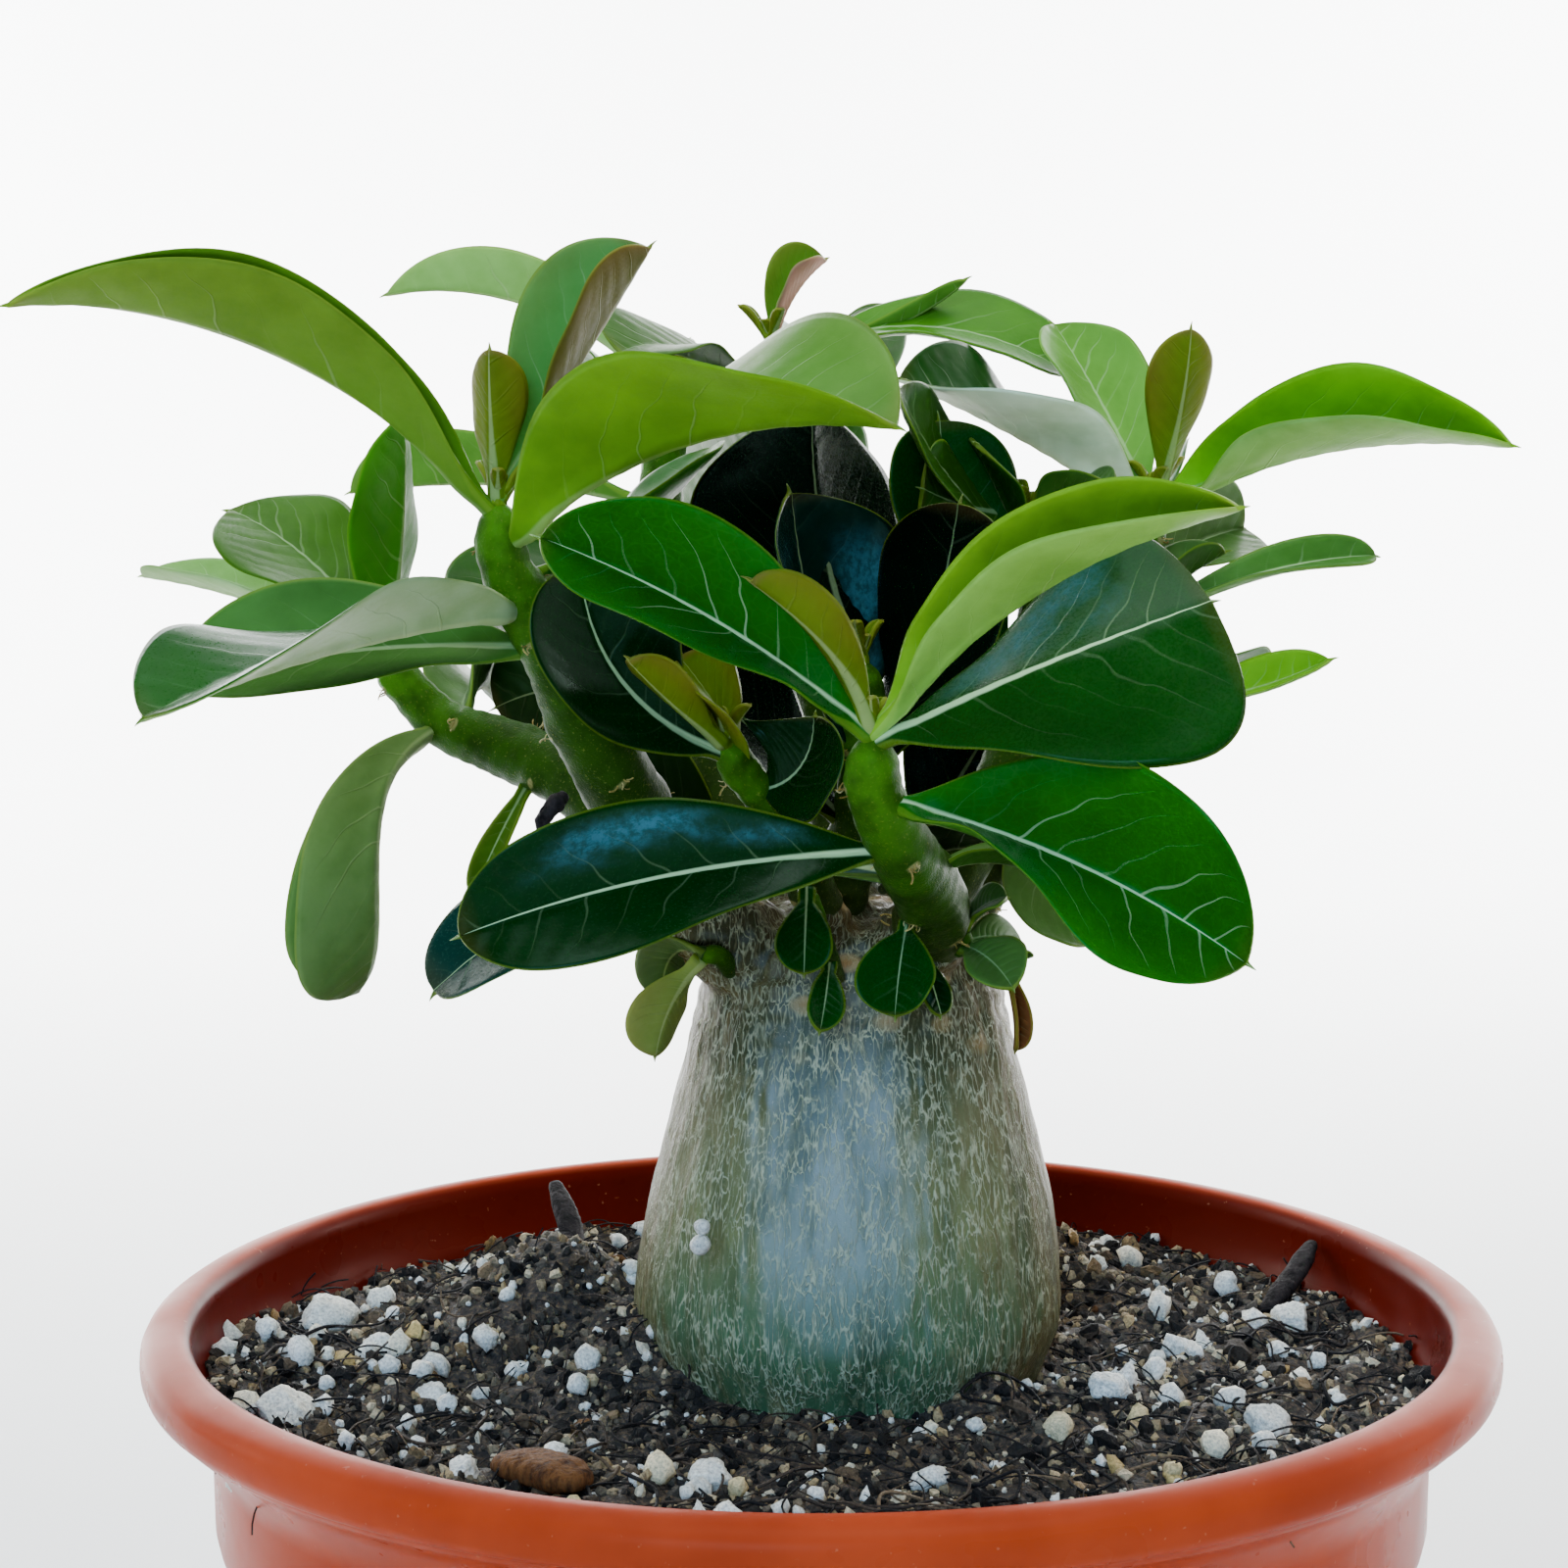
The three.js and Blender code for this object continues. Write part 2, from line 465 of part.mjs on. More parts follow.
        leaves: [
          { at: 1, heading: -13, rise: 4, length: 22, width: 8, arch: -25, swing: 3, roll: 34, fold: 26, blunt: 0.7 },
          { at: 0.06, heading: -88, rise: -42, length: 19, width: 13, arch: -5, swing: 65, roll: 13, fold: 6, curl: 8, blunt: 0.38 },
          { at: 0.9, heading: 61, rise: 25, length: 32, width: 16, arch: 50, swing: -3, roll: 5, fold: 24, curl: 8, blunt: 0.5 },
        ],
      },
    ],
  },
  shoot_back_left: {
    path: [[-8, 10, 156], [-11, 18, 168], [-17, 28, 186], [-19, 36, 202], [-17, 40, 218]],
    radii: [4.2, 3.8, 3.3, 2.8, 2.3],
    leaves: [
      { at: 0.95, heading: 165, rise: 44, length: 41, width: 12, arch: 54, swing: -1, roll: 19, twist: 15, fold: 58, curl: 9, blunt: 0.8 },
      { at: 0.75, heading: 147, rise: 9, length: 46, width: 14, arch: 18, swing: 10, roll: 3, twist: 23, fold: 58, curl: 9, blunt: 0.54 },
      { at: 1, heading: 100, rise: 18, length: 13, width: 8, arch: 22, twist: 4, fold: 36 },
      { at: 0.86, heading: 103, rise: 35, length: 42, width: 20, arch: 64, swing: -3, twist: -2, fold: 24 },
      { at: 0.6, heading: 130, rise: 10, length: 42, width: 18, arch: 45, curl: 6, blunt: 0.48 },
      { at: 0.38, heading: 170, rise: 28, length: 26, width: 14, arch: 56, roll: 83, twist: 9, fold: 3, blunt: 0.48 },
      { at: 0.14, heading: 178, rise: 35, length: 21, width: 16, arch: 10, roll: 80, fold: 5 },
    ],
  },
  shoot_back: {
    path: [[3, 12, 156], [2, 19, 170], [-1, 29, 190], [-4, 36, 207], [-5.5, 42, 222]],
    radii: [4.2, 3.8, 3.3, 2.8, 2.3],
    leaves: [
      { at: 1, heading: 2, rise: 70, length: 12, width: 10, arch: 33, roll: 34, twist: 6, fold: 53 },
      { at: 0.95, heading: -22, rise: 25, length: 38, width: 19, arch: 58, swing: 18, roll: 14, twist: 9, fold: 8, blunt: 0.49 },
      { at: 0.97, heading: -15, rise: 3, length: 26, width: 4, arch: -37, swing: 5, roll: -18, twist: -11, fold: 19, blunt: 0.54 },
      { at: 0.85, heading: 199, rise: 45, length: 26, width: 15, arch: 60, swing: 36, twist: -24, fold: 17, curl: 1, blunt: 0.42 },
      { at: 0.45, heading: -93, rise: 52, length: 32, width: 18, arch: -20, swing: 8, roll: 44, twist: 4, fold: -11, curl: 3 },
      { at: 0.9, heading: 70, rise: 28, length: 38, width: 19, arch: 68, twist: -11, fold: 30 },
      { at: 0.7, heading: 110, rise: 15, length: 41, width: 20, arch: 50, roll: 31, twist: 8, fold: 42, curl: 10 },
    ],
  },
  shoot_back_low: {
    path: [[8, 15, 154], [12, 25, 161], [15, 36, 168], [17, 45, 177]],
    radii: [3.4, 3, 2.6, 2],
    leaves: [
      { at: 1, heading: 75, rise: 72, length: 17, width: 8, arch: 10, fold: 45 },
      { at: 0.97, heading: 95, rise: 35, length: 34, width: 17, arch: 60 },
      { at: 0.93, heading: 15, rise: 25, length: 34, width: 17, arch: 45, fold: 30 },
      { at: 0.85, heading: 165, rise: 15, length: 32, width: 16, fold: 30 },
      { at: 0.6, heading: 40, rise: -10, length: 30, width: 15, arch: 25, fold: 20 },
      { at: 0.25, heading: 0, rise: 62, length: 24, width: 19, arch: 5, roll: 88, fold: 5 },
    ],
  },
  sprout_front: {
    slim: true,
    path: [[1.6, -14, 152.3], [-0.2, -17, 158.8], [-1.5, -18.5, 163.1]],
    radii: [1.2, 1.1, 1],
    leaves: [
      { at: 1, heading: -94, rise: -48, length: 10, width: 7, arch: 18, fold: 19 },
      { at: 0.2, heading: -93, rise: -36, length: 10, width: 5, arch: 14, swing: -11, roll: -24, fold: 23 },
    ],
  },
  sprout_left: {
    slim: true,
    path: [[-9.4, -7.5, 151.5], [-11.3, -12, 154.7], [-13.2, -13, 154.5]],
    radii: [1.2, 1.1, 1],
    leaves: [
      { at: 0.8, heading: 131, rise: 24, length: 13, width: 7, arch: 125, swing: -10, roll: 10, twist: 4, fold: 21, blunt: 0.62 },
      { at: 1, heading: 156, rise: -46, length: 13, width: 8, arch: 37, swing: 1, roll: 36, fold: 21, blunt: 0.57 },
    ],
  },
  dry_leaf_right: {
    slim: true,
    colour: colours.dryLeaf,
    path: [[17, -4, 150.5], [20.4, -7.5, 153.8]],
    radii: [1, 0.8],
    leaves: [
      { at: 1, heading: -67, rise: -51, length: 11, width: 4, arch: 50, swing: 20, roll: 3, twist: 4, fold: 50 },
    ],
  },
};

// A stem with its blades and its side branches
function leafyStem({ path, radii, leaves, branches = [], slim }) {
  const curve = new THREE.CatmullRomCurve3(path.map((p) => vec(...p)), false, "catmullrom", 0.5);
  const blades = leaves.map((leaf) => leafSolid({ ...leaf, base: curve.getPoint(leaf.at) }));
  const stem = slim ? stemSolid(path, radii, { sides: 6, steps: 2 }) : stemSolid(path, radii);
  return fuse([stem, ...blades, ...branches.map(leafyStem)]);
}

const shootSolid = (shoot, grownTrunk) => mainBody(leafyStem(shoot).subtract(grownTrunk));

function meshOf(name, solid, colour, roughness) {
  const material = new THREE.MeshStandardMaterial({ color: colour, roughness, metalness: 0 });
  const mesh = new THREE.Mesh(geometryOf(solid), material);
  mesh.name = name;
  return mesh;
}

const plant = new THREE.Group();
plant.name = "potted_desert_rose";
const grownTrunk = trunkSolid(shoots, gap);
const lumps = Object.entries(perlite);
const sunk = [
  grownTrunk,
  ...lumps.map(([, lump], index) => lumpSolid(lump, index, gap)),
  ...Object.values(bits).map((bit) => bitSolid(bit, gap)),
];
plant.add(meshOf("pot", potSolid(), colours.pot, 0.35));
plant.add(meshOf("soil", mainBody(soilSolid().subtract(fuse(sunk))), colours.soil, 0.95));
plant.add(meshOf("trunk", trunkSolid(shoots), colours.trunk, 0.6));
Object.entries(shoots).forEach(([name, shoot]) =>
  plant.add(meshOf(name, shootSolid(shoot, grownTrunk), shoot.colour ?? colours.leaf, 0.3)),
);
lumps.forEach(([name, lump], index) => plant.add(meshOf(name, lumpSolid(lump, index), colours.perlite, 0.8)));
Object.entries(bits).forEach(([name, bit]) => plant.add(meshOf(name, bitSolid(bit), bit.colour, 0.9)));

export default plant;
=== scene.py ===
# Potted desert rose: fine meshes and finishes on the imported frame, then floor, lights and camera
import math
import bpy
import bmesh
import numpy as np
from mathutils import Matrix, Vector, noise


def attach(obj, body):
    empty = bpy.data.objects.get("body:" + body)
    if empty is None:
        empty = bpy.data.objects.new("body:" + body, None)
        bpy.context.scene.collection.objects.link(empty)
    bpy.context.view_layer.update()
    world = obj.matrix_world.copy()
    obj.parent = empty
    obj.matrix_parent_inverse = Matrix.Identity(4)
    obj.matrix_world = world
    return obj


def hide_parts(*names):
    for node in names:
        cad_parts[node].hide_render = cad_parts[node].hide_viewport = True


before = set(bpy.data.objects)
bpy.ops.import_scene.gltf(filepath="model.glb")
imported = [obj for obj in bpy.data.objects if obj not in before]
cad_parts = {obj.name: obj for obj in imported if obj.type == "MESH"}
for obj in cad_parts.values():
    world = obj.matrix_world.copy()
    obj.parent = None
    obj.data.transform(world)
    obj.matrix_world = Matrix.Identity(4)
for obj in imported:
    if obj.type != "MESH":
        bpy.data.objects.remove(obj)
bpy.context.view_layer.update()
mm = 0.001
print("frame loaded:", len(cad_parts), "nodes")


# helpers used by every piece
def paint(red, green, blue):  # a colour by its usual 0 to 255 numbers
    def straight(given):
        given /= 255
        return given / 12.92 if given <= 0.04045 else ((given + 0.055) / 1.055) ** 2.4
    return (straight(red), straight(green), straight(blue), 1)


def smoothStep(x, low, high):
    share = np.clip((x - low) / (high - low), 0, 1)
    return share * share * (3 - 2 * share)


def unit(vectors):
    return vectors / np.linalg.norm(vectors, axis=-1, keepdims=True)


def curveThrough(points, places):  # the same curve that the solids' stems follow
    points = np.array(points, float)
    padded = np.vstack([2 * points[0] - points[1], points, 2 * points[-1] - points[-2]])
    places = np.clip(np.atleast_1d(places), 0, 1) * (len(points) - 1)
    spot = np.minimum(places.astype(int), len(points) - 2)
    part = (places - spot)[:, None]
    before, here, after, later = (padded[spot + k] for k in range(4))
    leave, arrive = 0.5 * (after - before), 0.5 * (later - here)
    bend = -3 * here + 3 * after - 2 * leave - arrive
    close = 2 * here - 2 * after + leave + arrive
    return here + leave * part + bend * part**2 + close * part**3


def softNoise(points, size, seed=0):  # smooth noise from -1 to 1, with blobs about size across
    shift = Vector((13.7 * seed, 7.1 * seed, 3.3 * seed))
    return np.array([noise.noise(Vector(p) / size + shift) for p in points])


def makeObject(name, points, faces, materials, faceMaterials=None, **values):
    mesh = bpy.data.meshes.new(name)
    mesh.from_pydata((np.asarray(points) * mm).tolist(), [], faces)
    for material in materials:
        mesh.materials.append(material)
    if faceMaterials is not None:
        mesh.polygons.foreach_set("material_index", np.asarray(faceMaterials, np.int32))
    mesh.polygons.foreach_set("use_smooth", np.full(len(mesh.polygons), True))
    for key, data in values.items():
        data = np.asarray(data, np.float32)
        kind = "FLOAT" if data.ndim == 1 else "FLOAT_VECTOR"
        layer = mesh.attributes.new(key, kind, "POINT")
        layer.data.foreach_set("value" if data.ndim == 1 else "vector", data.ravel())
    mesh.validate()
    mesh.update()
    made = bpy.data.objects.new(name, mesh)
    bpy.context.scene.collection.objects.link(made)
    return made


def settle(piece, slotName, *nodes):  # the piece rides on the body and stands for these nodes
    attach(piece, "root")
    if nodes:
        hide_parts(*nodes)
    return piece


def bakeModifiers(piece):  # the evaluated result becomes a plain mesh, and the modifiers go
    evaluated = piece.evaluated_get(bpy.context.evaluated_depsgraph_get())
    mesh = bpy.data.meshes.new_from_object(evaluated)
    piece.modifiers.clear()
    old = piece.data
    piece.data = mesh
    bpy.data.meshes.remove(old)
    return piece


def meshPoints(piece):  # a mesh's points in millimetres
    flat = np.empty(3 * len(piece.data.vertices))
    piece.data.vertices.foreach_get("co", flat)
    return flat.reshape(-1, 3) / mm


def meshNormals(piece):
    flat = np.empty(3 * len(piece.data.vertices))
    piece.data.vertices.foreach_get("normal", flat)
    return flat.reshape(-1, 3)


def placePoints(piece, points):
    piece.data.vertices.foreach_set("co", (points * mm).ravel())
    piece.data.update()


def ringFaces(rows, size):  # quads between rows of closed rings
    i, j = np.meshgrid(np.arange(rows - 1), np.arange(size), indexing="ij")
    a = (i * size + j).ravel()
    b = (i * size + (j + 1) % size).ravel()
    return np.stack([a, b, b + size, a + size], 1)


def joinMeshes(parts):  # several lists of points and faces in one
    points, faces, start = [], [], 0
    for somePoints, someFaces in parts:
        points.append(somePoints)
        faces += [[k + start for k in face] for face in someFaces]
        start += len(somePoints)
    return np.vstack(points), faces


# helpers for node trees
def put(tree, kind, inputs=None, **settings):
    made = tree.nodes.new(kind)
    for key, given in settings.items():
        setattr(made, key, given)
    for socket, given in (inputs or {}).items():
        if isinstance(given, bpy.types.NodeSocket):
            tree.links.new(given, made.inputs[socket])
        else:
            made.inputs[socket].default_value = given
    return made


def calc(tree, operation, *values, clamp=False):
    return put(tree, "ShaderNodeMath", dict(enumerate(values)), operation=operation,
               use_clamp=clamp).outputs[0]


def vectorCalc(tree, operation, *values):
    return put(tree, "ShaderNodeVectorMath", dict(enumerate(values)), operation=operation).outputs[0]


def blend(tree, factor, first, second, mode="MIX"):
    inputs = {0: factor, 6: first, 7: second}
    return put(tree, "ShaderNodeMix", inputs, data_type="RGBA", blend_type=mode).outputs[2]


def fade(tree, amount, fromLow, fromHigh, toLow=0.0, toHigh=1.0):  # a soft step from one range to another
    inputs = {0: amount, 1: fromLow, 2: fromHigh, 3: toLow, 4: toHigh}
    return put(tree, "ShaderNodeMapRange", inputs, interpolation_type="SMOOTHSTEP").outputs[0]


def speckle(tree, vector, scale, detail=4.0, rough=0.6):
    inputs = {"Vector": vector, "Scale": scale, "Detail": detail, "Roughness": rough}
    return put(tree, "ShaderNodeTexNoise", inputs).outputs[0]


def stretched(tree, scale):  # object coordinates in metres, stretched along the axes
    place = put(tree, "ShaderNodeTexCoord").outputs["Object"]
    return put(tree, "ShaderNodeMapping", {"Vector": place, "Scale": scale}).outputs[0]


def value(tree, name, output="Fac"):  # what a mesh holds at its points under this name
    return put(tree, "ShaderNodeAttribute", attribute_name=name).outputs[output]


def ramp(tree, factor, stops):
    made = put(tree, "ShaderNodeValToRGB", {0: factor})
    edges = made.color_ramp.elements
    while len(edges) < len(stops):
        edges.new(0.5)
    for edge, (position, colour) in zip(edges, stops):
        edge.position = position
        edge.color = colour
    return made.outputs[0]


def newGroup(name, inputs, outputs):
    tree = bpy.data.node_groups.new(name, "ShaderNodeTree")
    for label, kind, default in inputs:
        socket = tree.interface.new_socket(name=label, in_out="INPUT", socket_type=kind)
        socket.default_value = default
    for label, kind in outputs:
        tree.interface.new_socket(name=label, in_out="OUTPUT", socket_type=kind)
    return tree, tree.nodes.new("NodeGroupInput"), tree.nodes.new("NodeGroupOutput")


def placeGroup(tree, group, **inputs):
    made = tree.nodes.new("ShaderNodeGroup")
    made.node_tree = group
    for label, given in inputs.items():
        socket = made.inputs[label.replace("_", " ")]
        if isinstance(given, bpy.types.NodeSocket):
            tree.links.new(given, socket)
        else:
            socket.default_value = given
    return made


def newMaterial(name, **settings):  # settings go on the shader's own sockets
    material = bpy.data.materials.new(name)
    material.use_nodes = True
    tree = material.node_tree
    shader = tree.nodes["Principled BSDF"]
    for label, given in settings.items():
        shader.inputs[label.replace("_", " ")].default_value = given
    return material, tree, shader


def finishSurface(tree, shader, colour=None, roughness=None, height=None, depth=0.0003, strength=1.0):
    if colour is not None:
        tree.links.new(colour, shader.inputs["Base Color"])
    if roughness is not None:
        tree.links.new(roughness, shader.inputs["Roughness"])
    if height is not None:
        inputs = {"Height": height, "Distance": depth, "Strength": strength}
        bump = put(tree, "ShaderNodeBump", inputs)
        tree.links.new(bump.outputs[0], shader.inputs["Normal"])


# effects that more than one finish uses
veinSlant = dict(lean=0.62, curve=0.022)  # side veins lean to the tip, more so near the margin


def makeGrainGroup():  # fine specks and broad mottling over a surface
    tree, given, out = newGroup(
        "surfaceGrain",
        [("Fine size", "NodeSocketFloat", 0.4), ("Broad size", "NodeSocketFloat", 8.0)],
        [("Fine", "NodeSocketFloat"), ("Broad", "NodeSocketFloat")],
    )
    place = put(tree, "ShaderNodeTexCoord").outputs["Object"]
    fineScale = calc(tree, "DIVIDE", 1000.0, given.outputs["Fine size"])
    broadScale = calc(tree, "DIVIDE", 1000.0, given.outputs["Broad size"])
    tree.links.new(speckle(tree, place, fineScale, 3.0), out.inputs["Fine"])
    tree.links.new(speckle(tree, place, broadScale, 4.0), out.inputs["Broad"])
    return tree


def makeVeinGroup():  # midrib, side veins, net and margin of a leaf, from where a point lies on its blade
    tree, given, out = newGroup(
        "leafVeins",
        [
            ("Side veins", "NodeSocketFloat", 12.0),
            ("Rib width", "NodeSocketFloat", 0.8),
            ("Vein width", "NodeSocketFloat", 0.24),
        ],
        [(name, "NodeSocketFloat") for name in ("Rib", "Vein", "Net", "Margin", "Quilt")],
    )
    place = put(tree, "ShaderNodeSeparateXYZ", {0: value(tree, "leafPlace", "Vector")}).outputs
    share = put(tree, "ShaderNodeSeparateXYZ", {0: value(tree, "leafShare", "Vector")}).outputs
    across = calc(tree, "ABSOLUTE", place[0])
    outward = calc(tree, "ABSOLUTE", share[0])
    wobble = speckle(tree, value(tree, "leafPlace", "Vector"), 0.07, 2.0)
    wobble = calc(tree, "MULTIPLY", calc(tree, "SUBTRACT", wobble, 0.5), 7.0)
    # midrib, which tapers to the tip
    taper = calc(tree, "POWER", calc(tree, "SUBTRACT", 1.02, share[1], clamp=True), 1.2)
    taper = calc(tree, "MULTIPLY", taper, fade(tree, share[2], 6.0, 36.0, 0.35, 1.0))
    ribWidth = calc(tree, "ADD", calc(tree, "MULTIPLY", given.outputs["Rib width"], taper), 0.06)
    tree.links.new(fade(tree, across, calc(tree, "MULTIPLY", ribWidth, 0.45), ribWidth, 1.0, 0.0),
                   out.inputs["Rib"])
    # side veins, which lean to the tip and alternate left and right
    curve = calc(tree, "MULTIPLY", across, calc(tree, "MULTIPLY", across, veinSlant["curve"]))
    lean = calc(tree, "ADD", calc(tree, "MULTIPLY", across, veinSlant["lean"]), curve)
    along = calc(tree, "ADD", calc(tree, "SUBTRACT", place[1], lean), wobble)
    gapSize = calc(tree, "DIVIDE", share[2], given.outputs["Side veins"])
    turn = calc(tree, "MULTIPLY", calc(tree, "GREATER_THAN", place[0], 0.0), 0.5)
    counted = calc(tree, "ADD", calc(tree, "DIVIDE", along, gapSize), turn)
    cell = calc(tree, "FRACT", counted)
    order = calc(tree, "ADD", calc(tree, "FLOOR", counted), calc(tree, "MULTIPLY", turn, 26.0))
    order = calc(tree, "ADD", order, calc(tree, "MULTIPLY", share[2], 3.0))
    chance = put(tree, "ShaderNodeTexWhiteNoise", {"W": order}, noise_dimensions="1D").outputs["Value"]
    fromVein = calc(tree, "MULTIPLY", calc(tree, "ABSOLUTE", calc(tree, "SUBTRACT", cell, 0.5)), gapSize)
    thin = calc(tree, "MULTIPLY", given.outputs["Vein width"], calc(tree, "SUBTRACT", 1.15, outward))
    sideVein = fade(tree, fromVein, calc(tree, "MULTIPLY", thin, 0.3), thin, 1.0, 0.0)
    edgeFade = calc(tree, "MULTIPLY", fade(tree, outward, 0.6, 0.92, 1.0, 0.0),
                    fade(tree, share[1], 0.1, 0.24))
    seen = calc(tree, "MULTIPLY", edgeFade, fade(tree, chance, 0.15, 0.75, 0.1, 1.0))
    tree.links.new(calc(tree, "MULTIPLY", sideVein, seen), out.inputs["Vein"])
    # fine net between them
    spread = {"Vector": value(tree, "leafPlace", "Vector"), "Scale": 0.6}
    cells = put(tree, "ShaderNodeTexVoronoi", spread, feature="DISTANCE_TO_EDGE")
    tree.links.new(fade(tree, cells.outputs["Distance"], 0.02, 0.1, 1.0, 0.0), out.inputs["Net"])
    tree.links.new(fade(tree, place[2], 0.1, 0.34, 1.0, 0.0), out.inputs["Margin"])
    # the blade swells between its veins
    quilt = calc(tree, "MULTIPLY", fade(tree, fromVein, 0.0, calc(tree, "MULTIPLY", gapSize, 0.5)), edgeFade)
    tree.links.new(quilt, out.inputs["Quilt"])
    return tree


grainGroup = makeGrainGroup()
veinGroup = makeVeinGroup()

# pot: a lathed plastic nursery pot with a rolled lip
pot = dict(turns=192, floorTop=2.2, drainHoles=6, drainRadius=4.0, drainRing=38.0, drillDepth=10.0)
potProfile = [  # radius and height, up the outside, over the lip and down the inside
    (52.0, 0), (53.1, 0.35), (53.7, 1.4), (66.6, 80), (67.6, 83.4), (69.1, 87.6), (69.5, 89.4), (69.6, 97.6),
    (70.0, 99.3), (70.8, 100.6), (71.9, 102.4), (73.2, 103.9), (75.0, 105.1), (75.5, 105.3), (75.9, 105.9),
    (76.1, 106.3), (76.6, 106.4), (77.1, 106.8), (77.4, 107.6), (77.5, 108.6), (77.4, 109.8), (76.9, 110.8),
    (75.9, 111.5), (74.4, 111.9), (73.2, 112.0), (72.3, 111.7), (71.7, 110.9), (71.5, 109.8), (71.2, 106.4),
    (70.2, 104.3), (69.2, 102.4), (68.6, 100.4), (68.4, 98.6), (68.2, 89.4), (67.6, 86.6), (65.4, 80.4),
    (52.6, 4.2), (51.9, 2.9), (50.6, 2.2),
]


def makePotMaterial(name, body, deep, innerShade):
    material, tree, shader = newMaterial(name, Specular_IOR_Level=0.05, Specular_Tint=(1, 0.7, 0.5, 1))
    grain = placeGroup(tree, grainGroup, Fine_size=0.5, Broad_size=26.0).outputs
    place = put(tree, "ShaderNodeTexCoord").outputs["Object"]
    facing = put(tree, "ShaderNodeNewGeometry").outputs["Normal"]
    colour = blend(tree, fade(tree, grain["Broad"], 0.35, 0.7), body, deep)
    upward = put(tree, "ShaderNodeSeparateXYZ", {0: facing}).outputs[2]
    dusty = calc(tree, "MULTIPLY", fade(tree, upward, 0.3, 0.95),
                 fade(tree, grain["Broad"], 0.2, 0.75, 0.55, 1.0))
    # painted shade: the wall inside the lip is painted deeper in tone, as it lies in shadow
    axisward = vectorCalc(tree, "NORMALIZE", vectorCalc(tree, "MULTIPLY", place, (-1, -1, 0)))
    inward = put(tree, "ShaderNodeVectorMath", {0: facing, 1: axisward},
                 operation="DOT_PRODUCT").outputs["Value"]
    colour = blend(tree, fade(tree, inward, 0.25, 0.85), colour, innerShade)
    specks = fade(tree, speckle(tree, place, 900.0, 2.0), 0.7, 0.76)
    colour = blend(tree, calc(tree, "MULTIPLY", specks, 0.3), colour, paint(190, 120, 90))
    smudges = speckle(tree, place, 90.0, 3.0)
    shine = calc(tree, "ADD", fade(tree, smudges, 0.3, 0.8, 0.26, 0.36), calc(tree, "MULTIPLY", dusty, 0.16))
    finishSurface(tree, shader, colour, shine, grain["Broad"], 0.0004, 0.3)
    return material


def makePot():
    turns = pot["turns"]
    angles = np.linspace(0, 2 * math.pi, turns, endpoint=False)
    rows = [np.stack([r * np.cos(angles), r * np.sin(angles), np.full(turns, z)], 1) for r, z in potProfile]
    points = np.vstack([*rows, [[0, 0, 0], [0, 0, pot["floorTop"]]]])
    rings = len(potProfile)
    faces = ringFaces(rings, turns).tolist()
    for j in range(turns):
        after = (j + 1) % turns
        faces.append([rings * turns, after, j])
        faces.append([rings * turns + 1, (rings - 1) * turns + j, (rings - 1) * turns + after])
    body = makePotMaterial("terracottaPlastic", paint(166, 60, 28), paint(148, 50, 22), paint(84, 10, 1))
    piece = makeObject("nurseryPot", points, faces, [body])
    for k in range(pot["drainHoles"]):
        turn = 2 * math.pi * k / pot["drainHoles"]
        spot = (pot["drainRing"] * mm * math.cos(turn), pot["drainRing"] * mm * math.sin(turn), 0.001)
        radius, depth = pot["drainRadius"] * mm, pot["drillDepth"] * mm
        bpy.ops.mesh.primitive_cylinder_add(vertices=32, radius=radius, depth=depth, location=spot)
        drill = bpy.context.object
        cut = piece.modifiers.new("drain", "BOOLEAN")
        cut.object = drill
        cut.solver = "EXACT"
        bakeModifiers(piece)
        bpy.data.objects.remove(drill)
    return settle(piece, "pot_plastic", "pot")


makePot()
print("pot made")


# potting mix: a lumpy bed, then crumbs, fibres and grains scattered over it
mix = dict(
    level=103.6, bottom=2.6, edge=69.0, turns=300, rings=96,
    wallBand=(65.5, 68.9), wallLevels=(102.2, 105.6), wallReach=68.7,
    trunkFoot=(3.4, 2.0), bareRing=(20.5, 22), lowestLoose=100.5,
    heaps=[(-32, 16, 11, 13), (-19, -3, 6.5, 8), (16, -15, 4, 7), (-60, 0, 2, 18), (30, 38, 4, 10)],
)


def mound(x, y, centreX, centreY, reach):  # a round bump of height one
    return np.exp(-((x - centreX) ** 2 + (y - centreY) ** 2) / reach**2)


def mixHeight(x, y):
    heaped = sum(tall * mound(x, y, cx, cy, reach) for cx, cy, tall, reach in mix["heaps"])
    lumps = (
        0.8 * np.sin(0.31 * x + 1.3) * np.cos(0.27 * y - 0.6)
        + 0.5 * np.sin(0.62 * x - 0.47 * y)
        + 0.3 * np.cos(0.93 * y + 0.71 * x + 2)
    )
    return mix["level"] + lumps + heaped


def makeMixMaterial():
    material, tree, shader = newMaterial("pottingMix", Specular_IOR_Level=0.35)
    grain = placeGroup(tree, grainGroup, Fine_size=0.7, Broad_size=5.0).outputs
    stops = [(0.3, paint(14, 12, 11)), (0.5, paint(58, 50, 44)), (0.64, paint(100, 84, 66)),
             (0.78, paint(146, 122, 92))]
    colour = ramp(tree, grain["Fine"], stops)
    colour = blend(tree, fade(tree, grain["Broad"], 0.45, 0.7, 0.0, 0.6), colour, paint(14, 14, 18))
    finishSurface(tree, shader, colour, fade(tree, grain["Fine"], 0.3, 0.7, 0.6, 0.95), grain["Fine"],
                  0.0008, 0.9)
    return material


